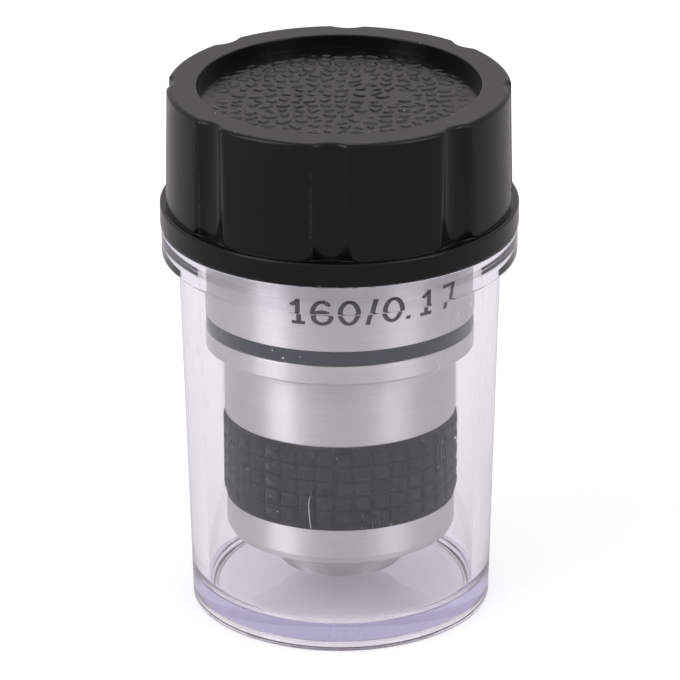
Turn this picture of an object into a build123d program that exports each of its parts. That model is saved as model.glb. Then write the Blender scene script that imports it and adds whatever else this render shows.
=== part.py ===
from build123d import *
from math import radians, sqrt, tan
import os

# Microscope objective of high power with a sprung nose, screwed by its thread into the black
# lid of a clear screw case. Millimetres. The optical axis is +Z, and the origin is the centre
# of the case's foot. Heights add up from the foot: the case is as long as its objective.

# Fits and running gaps
SEAT_FIT = 0.02  # radial gap of a piece fixed inside another
SLIDE_FIT = 0.05  # radial gap of a piece that slides or turns in another
SPRING_GAP = 0.03  # between the spring's last coil and the flange that it pushes
CEMENT = 0.01  # cement between the two lenses of a doublet

# Case jar
JAR_WALL = 1.5
JAR_FLOOR = 2.0
JAR_DRAFT = 1.59  # slope of the wall, degrees
JAR_FOOT_ROUND = 0.25
JAR_FOOT_RIM = 1.5  # width of the ring that the jar stands on
JAR_FOOT_HOLLOW = 0.6  # height of the hollow inside that ring
JAR_FLOOR_ROUND = 1.3
RIM_OUT = 1.4  # the rim under the lid, proud of the jar's wall
RIM_H = 2.5
RIM_ROUND = 0.25
NECK_WALL = 0.75
NECK_ROOM = 1.54  # between the neck's end and the lid's ceiling
COLLAR_GAP = 0.6  # between the objective's collar and the jar, at the collar's lower edge
TIP_GAP = 1.94  # between the objective's tip and the jar's floor

# Case lid
SCREW_ROOM = 0.6  # between the neck and the lid's skirt, for their coarse thread
LID_WALL = 1.15
LID_DRAFT = 1.24  # degrees
FLANGE_OUT = 0.1  # the lid's flange, proud of the jar's rim
FLANGE_H = 2.2
FLANGE_ROUND = 0.3
THREAD_ROOM = 2.04  # between the objective's thread and the lid's ceiling
LID_PLATE = 1.5
LID_ROUND = 0.35
RECESS_RIM = 2.64  # width of the raised rim round the recess
RECESS_DEPTH = 1.26
RECESS_ROUND = 0.3
FLUTES = 8
FLUTE_TURN = -3.0  # degrees, turns the front flute a little to the left
FLUTE_WIDTH = 3.1
FLUTE_DEPTH = 0.5
FLUTE_ROUND = 0.3
BOSS_WALL = 1.4
BOSS_RISE = 3.3  # from the lid's lower face up to the boss's end

# Objective mount: Royal Microscopical Society screw thread, 20.32 mm across and 36 turns to the inch.
# Every other radius of the objective and of its case follows from it by the steps and walls named here.
THREAD_R = 10.16
THREAD_PITCH = 25.4 / 36
THREAD_DEPTH = 0.6403 * THREAD_PITCH
THREAD_H = 4.8
THREAD_CHAMFER = 0.5
RELIEF_H = 0.8
RELIEF_DEPTH = 0.2
MOUNT_WALL = 1.7  # from the thread's core to the rear bore
COLLAR_STEP = 1.84  # the collar, proud of the thread
COLLAR_H = 14.02
COLLAR_CHAMFER = 0.3
BAND_RISE = 1.94  # from the collar's lower edge up to the coloured band
BAND_H = 1.4
BAND_DEPTH = 0.35
BAND_INSET = 0.06

# Objective sleeve, grip and front ring
SLEEVE_WALL = 0.85
BARREL_INSET = 1.61  # barrel, within the collar
BARREL_H = 6.55
BARREL_CHAMFER = 0.15
SPIGOT_H = 4.2  # sleeve inside the collar
LAND_H = 2.0  # land in the collar that guides the lens tube
GRIP_OUT = 0.16  # pads, proud of the barrel
GRIP_WALL = 0.65
GRIP_H = 8.05
GRIP_MARGIN = 0.45  # plain edge above and below the pads
PAD_COLUMNS = 40
PAD_ROWS = 5
GROOVE_W = 0.42
GROOVE_DEPTH = 0.25
PAD_TURN = 6.0  # degrees
FRONT_RING_INSET = 0.12  # front ring, within the barrel
FRONT_RING_H = 2.97
FRONT_CHAMFER_H = 0.5
FRONT_CHAMFER_R = 0.3
FRONT_SPIGOT_H = 1.5

# Sliding nose
NOSE_REACH = 3.77  # tip below the front ring
NOSE_STEP = 1.4  # nose, within its flange
NOSE_CHAMFER = 0.12
NOSE_FLANGE_H = 3.0
NOSE_TRAVEL = 2.0
TUBE_BORE_SHARE = 0.512  # of the thread's radius
TUBE_WALL = 1.2
TUBE_RISE = 1.5  # lens tube above the foot of its guiding land
NOSE_WALL = 3.0
CELL_H = 3.4
WEB_H = 0.8
WEB_REACH = 1.2
CONE_H = 2.06
CONE_STEP = 0.4  # the cone's base, within the nose
CONE_NARROWS = 1.7
TIP_ROUND = 0.4

# Lenses. A ratio is a surface's radius of curvature over its lens's own radius.
FRONT_LENS_R = 1.5
FRONT_LENS_RATIO = 1.07
FRONT_LENS_EDGE = 0.3
TIP_SEAT = 0.3  # how far the tip's lip reaches under the front lens
TIP_LIP = 0.22
LENS_EDGE = 0.6  # thickness of every doublet lens where it is thinnest
SEAT_LIP = 0.4  # how far a cell's lip reaches under its lens
MIDDLE_CELL_WALL = 1.6
MIDDLE_SEAT_H = 1.3
MIDDLE_LOWER_RATIO = 1.67
MIDDLE_JOINT_RATIO = 1.39
SPACER_H = 6.0
SPACER_WALL = 2.0
REAR_CELL_WALL = 0.8
REAR_SEAT_H = 1.0
REAR_LOWER_RATIO = 2.73
REAR_JOINT_RATIO = 1.59
STOP_H = 0.4
STOP_HOLE_R = 2.9
RETAINER_H = 1.8
RETAINER_WALL = 1.1
SPANNER_SLOT_W = 0.8
SPANNER_SLOT_H = 0.9

# Spring and guide pin
WIRE_R = 0.4
SPRING_TURNS = 6.5
PIN_R = 0.45
PIN_REACH = 0.85  # pin inside the sleeve's bore
NOTCH_DEPTH = 1.0


def sag(curve, radius):
    """Depth of a spherical surface of that curvature over a lens of that radius."""
    return curve - sqrt(curve**2 - radius**2)


def edge_rise(lens_r, lower_curve):
    """Height of a lens's edge above the lip that its lower face rests on."""
    return sag(lower_curve, lens_r) - sag(lower_curve, lens_r - SEAT_LIP)


def doublet_h(lens_r, lower_curve, joint_curve):
    """Height of a doublet from its cell's lip to its flat upper face."""
    return edge_rise(lens_r, lower_curve) + 2 * LENS_EDGE + CEMENT + sag(joint_curve, lens_r)


# Radii, from the thread inwards
CORE_R = THREAD_R - THREAD_DEPTH
REAR_BORE_R = CORE_R - MOUNT_WALL
COLLAR_R = THREAD_R + COLLAR_STEP
BARREL_R = COLLAR_R - BARREL_INSET
GRIP_R = BARREL_R + GRIP_OUT
FRONT_RING_R = BARREL_R - FRONT_RING_INSET
SLEEVE_SEAT_R = GRIP_R - GRIP_WALL
SLEEVE_BORE_R = SLEEVE_SEAT_R - SLEEVE_WALL
FLANGE_R = SLEEVE_BORE_R - SLIDE_FIT
NOSE_R = FLANGE_R - NOSE_STEP
TUBE_BORE_R = THREAD_R * TUBE_BORE_SHARE
TUBE_R = TUBE_BORE_R + TUBE_WALL
CELL_R = NOSE_R - NOSE_WALL
WEB_R = CELL_R - WEB_REACH
CONE_TOP_R = NOSE_R - CONE_STEP
TIP_R = CONE_TOP_R - CONE_NARROWS
STACK_R = TUBE_BORE_R - SEAT_FIT
MIDDLE_LENS_R = TUBE_BORE_R - MIDDLE_CELL_WALL
MIDDLE_LOWER_CURVE = MIDDLE_LENS_R * MIDDLE_LOWER_RATIO
MIDDLE_JOINT_CURVE = MIDDLE_LENS_R * MIDDLE_JOINT_RATIO
REAR_LENS_R = TUBE_BORE_R - REAR_CELL_WALL
REAR_LOWER_CURVE = REAR_LENS_R * REAR_LOWER_RATIO
REAR_JOINT_CURVE = REAR_LENS_R * REAR_JOINT_RATIO
FRONT_LENS_CURVE = FRONT_LENS_R * FRONT_LENS_RATIO

# Heights, from the jar's foot upwards
TIP_Z = JAR_FLOOR + TIP_GAP
STEP_Z = TIP_Z + CONE_H
RING_Z = TIP_Z + NOSE_REACH
GRIP_Z = RING_Z + FRONT_RING_H
BARREL_Z = GRIP_Z + GRIP_H
COLLAR_Z = BARREL_Z + BARREL_H
BAND_Z = COLLAR_Z + BAND_RISE
SHOULDER_Z = COLLAR_Z + COLLAR_H
THREAD_TOP_Z = SHOULDER_Z + THREAD_H
SPLIT_Z = SHOULDER_Z - BOSS_RISE
LID_BODY_Z = SPLIT_Z + FLANGE_H
LID_CEILING_Z = THREAD_TOP_Z + THREAD_ROOM
RECESS_Z = LID_CEILING_Z + LID_PLATE
LID_TOP_Z = RECESS_Z + RECESS_DEPTH
FLANGE_Z = GRIP_Z + FRONT_SPIGOT_H
FLANGE_TOP_Z = FLANGE_Z + NOSE_FLANGE_H
LAND_Z = COLLAR_Z + SPIGOT_H
LAND_TOP_Z = LAND_Z + LAND_H
WEB_Z = STEP_Z + CELL_H
STACK_Z = WEB_Z + WEB_H
MIDDLE_H = doublet_h(MIDDLE_LENS_R, MIDDLE_LOWER_CURVE, MIDDLE_JOINT_CURVE)
MIDDLE_TOP_Z = STACK_Z + MIDDLE_SEAT_H + MIDDLE_H
REAR_Z = MIDDLE_TOP_Z + SPACER_H
REAR_TOP_Z = REAR_Z + REAR_SEAT_H + doublet_h(REAR_LENS_R, REAR_LOWER_CURVE, REAR_JOINT_CURVE)

# Case
SLOPE = tan(radians(JAR_DRAFT))
JAR_BORE_AT_COLLAR = COLLAR_R + COLLAR_GAP


def jar_bore_r(z):
    """Radius of the jar's inner wall at height z."""
    return JAR_BORE_AT_COLLAR + (z - COLLAR_Z) * SLOPE


def jar_outer_r(z):
    """Radius of the jar's outer wall at height z."""
    return jar_bore_r(z) + JAR_WALL


RIM_R = jar_outer_r(SPLIT_Z) + RIM_OUT
NECK_BORE_R = jar_bore_r(SPLIT_Z)
NECK_R = NECK_BORE_R + NECK_WALL
LID_BORE_R = NECK_R + SCREW_ROOM
LID_FOOT_R = LID_BORE_R + LID_WALL
LID_BODY_H = LID_TOP_Z - LID_BODY_Z
LID_TOP_R = LID_FOOT_R - LID_BODY_H * tan(radians(LID_DRAFT))
LID_FLANGE_R = RIM_R + FLANGE_OUT
RECESS_R = LID_TOP_R - RECESS_RIM
BOSS_BORE_R = THREAD_R + SLIDE_FIT
BOSS_R = BOSS_BORE_R + BOSS_WALL


def keep(part, name):
    """Labels a finished piece and writes its file."""
    part.label = name
    export_step(part, f"parts/{name}.step")


# Clear jar with its rim and neck
with BuildPart() as case_jar:
    with BuildSketch(Plane.XZ):
        with BuildLine():
            Polyline(
                (0, JAR_FOOT_HOLLOW),
                (jar_outer_r(0) - JAR_FOOT_RIM, JAR_FOOT_HOLLOW),
                (jar_outer_r(0) - JAR_FOOT_RIM, 0),
                (jar_outer_r(0), 0),
                (jar_outer_r(SPLIT_Z - RIM_H), SPLIT_Z - RIM_H),
                (RIM_R, SPLIT_Z - RIM_H),
                (RIM_R, SPLIT_Z),
                (NECK_R, SPLIT_Z),
                (NECK_R, LID_CEILING_Z - NECK_ROOM),
                (NECK_BORE_R, LID_CEILING_Z - NECK_ROOM),
                (NECK_BORE_R, SPLIT_Z),
                (jar_bore_r(JAR_FLOOR), JAR_FLOOR),
                (0, JAR_FLOOR),
                close=True,
            )
        make_face()
    revolve(axis=Axis.Z)
    rings = case_jar.edges().filter_by(GeomType.CIRCLE)
    fillet(rings.filter_by_position(Axis.Z, 0, 0).sort_by(SortBy.RADIUS)[-1], JAR_FOOT_ROUND)
    rings = case_jar.edges().filter_by(GeomType.CIRCLE)
    fillet(rings.filter_by_position(Axis.Z, JAR_FLOOR, JAR_FLOOR), JAR_FLOOR_ROUND)
    rings = case_jar.edges().filter_by(GeomType.CIRCLE)
    under_rim = rings.filter_by_position(Axis.Z, SPLIT_Z - RIM_H, SPLIT_Z - RIM_H)
    fillet(under_rim.sort_by(SortBy.RADIUS)[-1], RIM_ROUND)
keep(case_jar.part, "case_jar")

# Black lid: a fluted cap on a flange, a recess on top, and inside it a boss with the objective's socket
with BuildPart() as case_lid:
    with BuildSketch(Plane.XZ):
        with BuildLine():
            Polyline(
                (0, LID_BODY_Z),
                (LID_FOOT_R, LID_BODY_Z),
                (LID_TOP_R, LID_TOP_Z),
                (0, LID_TOP_Z),
                close=True,
            )
        make_face()
    revolve(axis=Axis.Z)
    flute_r = (FLUTE_WIDTH**2 / 4 + FLUTE_DEPTH**2) / (2 * FLUTE_DEPTH)
    flute_way_r = (LID_FOOT_R + LID_TOP_R) / 2 - FLUTE_DEPTH + flute_r
    with Locations((0, 0, (LID_BODY_Z + LID_TOP_Z) / 2)):
        with PolarLocations(flute_way_r, FLUTES, start_angle=FLUTE_TURN - 90):
            Cylinder(flute_r, 2 * LID_BODY_H, rotation=(0, -LID_DRAFT, 0), mode=Mode.SUBTRACT)
    fillet(case_lid.edges().filter_by(lambda e: e.bounding_box().size.Z > LID_BODY_H / 2), FLUTE_ROUND)
    fillet(case_lid.faces().sort_by(Axis.Z)[-1].edges(), LID_ROUND)
    with BuildSketch(Plane.XY.offset(SPLIT_Z)):
        Circle(LID_FLANGE_R)
    extrude(amount=FLANGE_H)
    fillet(case_lid.edges().filter_by(GeomType.CIRCLE).sort_by(SortBy.RADIUS)[-2:], FLANGE_ROUND)
    with BuildSketch(Plane.XY.offset(RECESS_Z)):
        Circle(RECESS_R)
    extrude(amount=RECESS_DEPTH, mode=Mode.SUBTRACT)
    recess_rings = case_lid.edges().filter_by(GeomType.CIRCLE).filter_by_position(Axis.Z, RECESS_Z, RECESS_Z)
    fillet(recess_rings, RECESS_ROUND)
    with BuildSketch(Plane.XY.offset(SPLIT_Z)):
        Circle(LID_BORE_R)
    extrude(amount=LID_CEILING_Z - SPLIT_Z, mode=Mode.SUBTRACT)
    with BuildSketch(Plane.XY.offset(SHOULDER_Z)):
        Circle(BOSS_R)
        Circle(BOSS_BORE_R, mode=Mode.SUBTRACT)
    extrude(amount=LID_CEILING_Z - SHOULDER_Z)
keep(case_lid.part, "case_lid")

# Mount collar: thread, relief, shoulder, band groove, and the bores for sleeve and lens tube
with BuildPart() as mount_collar:
    groove_r = COLLAR_R - BAND_DEPTH
    with BuildSketch(Plane.XZ):
        with BuildLine():
            Polyline(
                (SLEEVE_SEAT_R + SEAT_FIT, COLLAR_Z),
                (COLLAR_R - COLLAR_CHAMFER, COLLAR_Z),
                (COLLAR_R, COLLAR_Z + COLLAR_CHAMFER),
                (COLLAR_R, BAND_Z),
                (groove_r, BAND_Z),
                (groove_r, BAND_Z + BAND_H),
                (COLLAR_R, BAND_Z + BAND_H),
                (COLLAR_R, SHOULDER_Z - COLLAR_CHAMFER),
                (COLLAR_R - COLLAR_CHAMFER, SHOULDER_Z),
                (CORE_R - RELIEF_DEPTH, SHOULDER_Z),
                (CORE_R - RELIEF_DEPTH, SHOULDER_Z + RELIEF_H),
                (CORE_R, SHOULDER_Z + RELIEF_H + RELIEF_DEPTH),
                (CORE_R, THREAD_TOP_Z - THREAD_CHAMFER),
                (CORE_R - THREAD_CHAMFER, THREAD_TOP_Z),
                (REAR_BORE_R, THREAD_TOP_Z),
                (REAR_BORE_R, LAND_TOP_Z),
                (TUBE_R + SLIDE_FIT, LAND_TOP_Z),
                (TUBE_R + SLIDE_FIT, LAND_Z),
                (SLEEVE_SEAT_R + SEAT_FIT, LAND_Z),
                close=True,
            )
        make_face()
    revolve(axis=Axis.Z)
keep(mount_collar.part, "mount_collar")

# Coloured band in its groove, by which the power is told at a glance
with BuildPart() as identification_band:
    with BuildSketch(Plane.XY.offset(BAND_Z)):
        Circle(COLLAR_R - BAND_INSET)
        Circle(COLLAR_R - BAND_DEPTH, mode=Mode.SUBTRACT)
    extrude(amount=BAND_H)
keep(identification_band.part, "identification_band")

# Sleeve: the plain barrel, a spigot up into the collar and a thinner tail under the grip
with BuildPart() as outer_sleeve:
    with BuildSketch(Plane.XZ):
        with BuildLine():
            Polyline(
                (SLEEVE_BORE_R, GRIP_Z),
                (SLEEVE_SEAT_R, GRIP_Z),
                (SLEEVE_SEAT_R, BARREL_Z),
                (BARREL_R - BARREL_CHAMFER, BARREL_Z),
                (BARREL_R, BARREL_Z + BARREL_CHAMFER),
                (BARREL_R, COLLAR_Z),
                (SLEEVE_SEAT_R, COLLAR_Z),
                (SLEEVE_SEAT_R, LAND_Z),
                (SLEEVE_BORE_R, LAND_Z),
                close=True,
            )
        make_face()
    revolve(axis=Axis.Z)
    pin_z = (FLANGE_Z + NOSE_TRAVEL + FLANGE_TOP_Z) / 2
    with BuildSketch(Plane.YZ.offset(SLEEVE_BORE_R - PIN_REACH)):
        with Locations((0, pin_z)):
            Circle(PIN_R + SEAT_FIT)
    extrude(amount=PIN_REACH + SLEEVE_WALL, mode=Mode.SUBTRACT)
keep(outer_sleeve.part, "outer_sleeve")

# Guide pin: fixed in the sleeve, it runs in the nose's notch and keeps the nose from turning
with BuildPart() as guide_pin:
    with BuildSketch(Plane.YZ.offset(SLEEVE_BORE_R - PIN_REACH)):
        with Locations((0, pin_z)):
            Circle(PIN_R)
    extrude(amount=PIN_REACH + SLEEVE_WALL)
keep(guide_pin.part, "guide_pin")

# Grip ring: square pads left between turned grooves and milled ones
with BuildPart() as grip_ring:
    with BuildSketch(Plane.XZ):
        with BuildLine():
            Polyline(
                (SLEEVE_SEAT_R + SEAT_FIT, GRIP_Z),
                (GRIP_R - GROOVE_DEPTH, GRIP_Z),
                (GRIP_R - GROOVE_DEPTH, GRIP_Z + GRIP_MARGIN - GROOVE_W / 2),
                (GRIP_R, GRIP_Z + GRIP_MARGIN),
                (GRIP_R, BARREL_Z - GRIP_MARGIN),
                (GRIP_R - GROOVE_DEPTH, BARREL_Z - GRIP_MARGIN + GROOVE_W / 2),
                (GRIP_R - GROOVE_DEPTH, BARREL_Z),
                (SLEEVE_SEAT_R + SEAT_FIT, BARREL_Z),
                close=True,
            )
        make_face()
    revolve(axis=Axis.Z)
    pad_h = (GRIP_H - 2 * GRIP_MARGIN) / PAD_ROWS
    with BuildSketch(Plane.XZ):
        for row in range(1, PAD_ROWS):
            groove_z = GRIP_Z + GRIP_MARGIN + row * pad_h
            with BuildLine():
                Polyline(
                    (GRIP_R, groove_z - GROOVE_W / 2),
                    (GRIP_R - GROOVE_DEPTH, groove_z),
                    (GRIP_R, groove_z + GROOVE_W / 2),
                    close=True,
                )
            make_face()
    revolve(axis=Axis.Z, mode=Mode.SUBTRACT)
    with BuildSketch(Plane.XY.offset(GRIP_Z)):
        with PolarLocations(GRIP_R - GROOVE_DEPTH, PAD_COLUMNS, start_angle=PAD_TURN):
            Polygon((0, 0), (GROOVE_DEPTH, GROOVE_W / 2), (GROOVE_DEPTH, -GROOVE_W / 2), align=None)
    extrude(amount=GRIP_H, mode=Mode.SUBTRACT)
keep(grip_ring.part, "grip_ring")

# Front ring: screwed into the sleeve's mouth, it holds the sprung nose in
with BuildPart() as front_ring:
    with BuildSketch(Plane.XZ):
        with BuildLine():
            Polyline(
                (NOSE_R + SLIDE_FIT, RING_Z),
                (FRONT_RING_R - FRONT_CHAMFER_R, RING_Z),
                (FRONT_RING_R, RING_Z + FRONT_CHAMFER_H),
                (FRONT_RING_R, GRIP_Z),
                (SLEEVE_BORE_R - SEAT_FIT, GRIP_Z),
                (SLEEVE_BORE_R - SEAT_FIT, FLANGE_Z),
                (NOSE_R + SLIDE_FIT, FLANGE_Z),
                close=True,
            )
        make_face()
    revolve(axis=Axis.Z)
keep(front_ring.part, "front_ring")

# Nose barrel: nose, flange with the guide pin's notch, and the tube that holds the lens cells
with BuildPart() as nose_barrel:
    tube_top_z = LAND_Z + TUBE_RISE
    with BuildSketch(Plane.XZ):
        with BuildLine():
            Polyline(
                (CELL_R + SEAT_FIT, STEP_Z),
                (NOSE_R - NOSE_CHAMFER, STEP_Z),
                (NOSE_R, STEP_Z + NOSE_CHAMFER),
                (NOSE_R, FLANGE_Z),
                (FLANGE_R, FLANGE_Z),
                (FLANGE_R, FLANGE_TOP_Z),
                (TUBE_R, FLANGE_TOP_Z),
                (TUBE_R, tube_top_z),
                (TUBE_BORE_R, tube_top_z),
                (TUBE_BORE_R, STACK_Z),
                (WEB_R, STACK_Z),
                (WEB_R, WEB_Z),
                (CELL_R + SEAT_FIT, WEB_Z),
                close=True,
            )
        make_face()
    revolve(axis=Axis.Z)
    with BuildSketch(Plane.XY.offset(FLANGE_Z)):
        with Locations((FLANGE_R, 0)):
            Rectangle(2 * NOTCH_DEPTH, 2 * (PIN_R + SLIDE_FIT))
    extrude(amount=NOSE_FLANGE_H, mode=Mode.SUBTRACT)
keep(nose_barrel.part, "nose_barrel")

# Front cell: the cone at the tip, with the front lens in its seat
lens_z = TIP_Z + TIP_LIP
with BuildPart() as front_cell:
    seat_top_z = lens_z + FRONT_LENS_EDGE + sag(FRONT_LENS_CURVE, FRONT_LENS_R)
    with BuildSketch(Plane.XZ):
        with BuildLine():
            Polyline(
                (FRONT_LENS_R - TIP_SEAT, lens_z),
                (FRONT_LENS_R - TIP_SEAT + TIP_LIP, TIP_Z),
                (TIP_R, TIP_Z),
                (CONE_TOP_R, STEP_Z),
                (CELL_R, STEP_Z),
                (CELL_R, WEB_Z),
                (WEB_R, WEB_Z),
                (FRONT_LENS_R + SEAT_FIT, seat_top_z),
                (FRONT_LENS_R + SEAT_FIT, lens_z),
                close=True,
            )
        make_face()
    revolve(axis=Axis.Z)
    tip_rings = front_cell.edges().filter_by(GeomType.CIRCLE).filter_by_position(Axis.Z, TIP_Z, TIP_Z)
    fillet(tip_rings.sort_by(SortBy.RADIUS)[-1], TIP_ROUND)
keep(front_cell.part, "front_cell")

# Front lens: flat below, strongly curved above
with BuildPart() as front_lens:
    with BuildSketch(Plane.XZ):
        with BuildLine():
            edge_z = lens_z + FRONT_LENS_EDGE
            top_z = edge_z + sag(FRONT_LENS_CURVE, FRONT_LENS_R)
            Polyline((0, top_z), (0, lens_z), (FRONT_LENS_R, lens_z), (FRONT_LENS_R, edge_z))
            RadiusArc((FRONT_LENS_R, edge_z), (0, top_z), -FRONT_LENS_CURVE)
        make_face()
    revolve(axis=Axis.Z)
keep(front_lens.part, "front_lens")


# Two cemented doublets, each in its cell: the lower lens is convex on both faces, the upper one is
# hollow below, to fit it, and flat above. A spacer stands between the cells.
doublets = [
    ("middle", STACK_Z, MIDDLE_SEAT_H, MIDDLE_LENS_R, MIDDLE_LOWER_CURVE, MIDDLE_JOINT_CURVE),
    ("rear", REAR_Z, REAR_SEAT_H, REAR_LENS_R, REAR_LOWER_CURVE, REAR_JOINT_CURVE),
]
for place, foot_z, seat_h, lens_r, lower_curve, joint_curve in doublets:
    seat_z = foot_z + seat_h
    rim_z = seat_z + edge_rise(lens_r, lower_curve)
    crown_edge_z = rim_z + LENS_EDGE
    flint_edge_z = crown_edge_z + CEMENT
    flint_low_z = flint_edge_z + sag(joint_curve, lens_r)
    flat_z = seat_z + doublet_h(lens_r, lower_curve, joint_curve)
    with BuildPart() as cell:
        with BuildSketch(Plane.XZ):
            with BuildLine():
                Polyline(
                    (lens_r - SEAT_LIP, foot_z),
                    (STACK_R, foot_z),
                    (STACK_R, flat_z),
                    (lens_r + SEAT_FIT, flat_z),
                    (lens_r + SEAT_FIT, seat_z),
                    (lens_r - SEAT_LIP, seat_z),
                    close=True,
                )
            make_face()
        revolve(axis=Axis.Z)
    keep(cell.part, f"{place}_cell")

    with BuildPart() as crown:
        with BuildSketch(Plane.XZ):
            with BuildLine():
                low = (0, rim_z - sag(lower_curve, lens_r))
                high = (0, crown_edge_z + sag(joint_curve, lens_r))
                Line(high, low)
                RadiusArc(low, (lens_r, rim_z), -lower_curve)
                Line((lens_r, rim_z), (lens_r, crown_edge_z))
                RadiusArc((lens_r, crown_edge_z), high, -joint_curve)
            make_face()
        revolve(axis=Axis.Z)
    keep(crown.part, f"{place}_crown")

    with BuildPart() as flint:
        with BuildSketch(Plane.XZ):
            with BuildLine():
                RadiusArc((0, flint_low_z), (lens_r, flint_edge_z), joint_curve)
                Polyline((lens_r, flint_edge_z), (lens_r, flat_z), (0, flat_z), (0, flint_low_z))
            make_face()
        revolve(axis=Axis.Z)
    keep(flint.part, f"{place}_flint")

with BuildPart() as spacer_tube:
    with BuildSketch(Plane.XY.offset(MIDDLE_TOP_Z)):
        Circle(STACK_R)
        Circle(TUBE_BORE_R - SPACER_WALL, mode=Mode.SUBTRACT)
    extrude(amount=SPACER_H)
keep(spacer_tube.part, "spacer_tube")

# Aperture stop on the rear doublet, and the retaining ring that clamps the whole stack
with BuildPart() as aperture_stop:
    with BuildSketch(Plane.XY.offset(REAR_TOP_Z)):
        Circle(STACK_R)
        Circle(STOP_HOLE_R, mode=Mode.SUBTRACT)
    extrude(amount=STOP_H)
keep(aperture_stop.part, "aperture_stop")

retainer_z = REAR_TOP_Z + STOP_H
with BuildPart() as retaining_ring:
    with BuildSketch(Plane.XY.offset(retainer_z)):
        Circle(STACK_R)
        Circle(TUBE_BORE_R - RETAINER_WALL, mode=Mode.SUBTRACT)
    extrude(amount=RETAINER_H)
    with BuildSketch(Plane.XY.offset(retainer_z + RETAINER_H - SPANNER_SLOT_H)):
        Rectangle(2 * TUBE_BORE_R, SPANNER_SLOT_W)
    extrude(amount=SPANNER_SLOT_H, mode=Mode.SUBTRACT)
keep(retaining_ring.part, "retaining_ring")

# Spring between the nose's flange and the collar, with its end coils ground flat
with BuildPart() as nose_spring:
    spring_foot_z = FLANGE_TOP_Z + SPRING_GAP
    spring_h = LAND_Z - spring_foot_z
    coil_r = (TUBE_R + SLEEVE_BORE_R) / 2
    coil_pitch = spring_h / SPRING_TURNS
    with BuildLine() as coil:
        Helix(pitch=coil_pitch, height=spring_h, radius=coil_r, center=(0, 0, spring_foot_z))
    with BuildSketch(Plane(coil.wire() @ 0, z_dir=coil.wire() % 0)):
        Circle(WIRE_R)
    sweep(path=coil.wire())
    with BuildSketch(Plane.XY.offset(spring_foot_z)):
        Circle(coil_r + 2 * WIRE_R)
    extrude(amount=spring_h, mode=Mode.INTERSECT)
keep(nose_spring.part, "nose_spring")
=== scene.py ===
"""Looks of a microscope objective in its screw case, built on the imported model's frame.

Sizes are in millimetres in every class, and each mesh is written in metres. Angles of a piece are in
degrees from its front, positive to the right as the camera sees it.
"""

import sys
import logging
import math
from collections.abc import Callable, Sequence
from dataclasses import dataclass, field
from enum import Enum
from typing import Any

import bpy
import numpy as np
from mathutils import Matrix, Vector


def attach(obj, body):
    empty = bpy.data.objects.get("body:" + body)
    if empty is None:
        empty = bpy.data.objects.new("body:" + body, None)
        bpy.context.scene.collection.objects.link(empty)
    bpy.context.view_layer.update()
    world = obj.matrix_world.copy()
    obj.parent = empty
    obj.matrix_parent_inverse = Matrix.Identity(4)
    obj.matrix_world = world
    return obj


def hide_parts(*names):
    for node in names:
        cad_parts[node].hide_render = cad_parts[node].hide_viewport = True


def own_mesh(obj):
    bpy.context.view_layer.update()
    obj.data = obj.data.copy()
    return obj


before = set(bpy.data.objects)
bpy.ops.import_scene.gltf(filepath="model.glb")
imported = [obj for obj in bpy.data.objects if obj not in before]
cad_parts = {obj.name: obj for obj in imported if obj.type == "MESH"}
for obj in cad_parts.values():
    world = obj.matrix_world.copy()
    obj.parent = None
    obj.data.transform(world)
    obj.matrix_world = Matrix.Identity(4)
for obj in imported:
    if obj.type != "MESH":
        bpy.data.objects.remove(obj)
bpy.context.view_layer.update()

LOG = logging.getLogger("objective")
MM = 0.001
FRONT = -90.0
Colour = tuple[float, float, float]
Grid = np.ndarray
Piece = bpy.types.Object
Relief = Callable[[Grid, Grid, Grid], Grid]
Socket = bpy.types.NodeSocket


class Body(Enum):
    """The bodies of the frame that pieces ride on."""

    JAR = "jar"
    LID = "lid"
    OBJECTIVE = "objective"
    NOSE = "nose"


class Finish(Enum):
    """The material slots that pieces take their finish from."""

    CLEAR_PLASTIC = "clear_plastic"
    BLACK_PLASTIC = "black_plastic"
    SATIN_PLATE = "satin_plate"
    BLUE_ENAMEL = "blue_enamel"
    GRIP_BLACK = "grip_black"
    SPRING_STEEL = "spring_steel"
    OPTICAL_GLASS = "optical_glass"
    BLACK_ANODISED = "black_anodised"


# Surfaces


def smooth_step(low: float, high: float, value: Grid) -> Grid:
    """Rises from 0 at low to 1 at high along 3t^2 - 2t^3."""
    t = np.clip((value - low) / (high - low), 0.0, 1.0)
    return t * t * (3.0 - 2.0 * t)


def from_front(angle: Grid) -> Grid:
    """Degrees from the front, between -180 and 180, of angles in radians about the axis."""
    return (np.degrees(angle) - FRONT + 180.0) % 360.0 - 180.0


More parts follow.
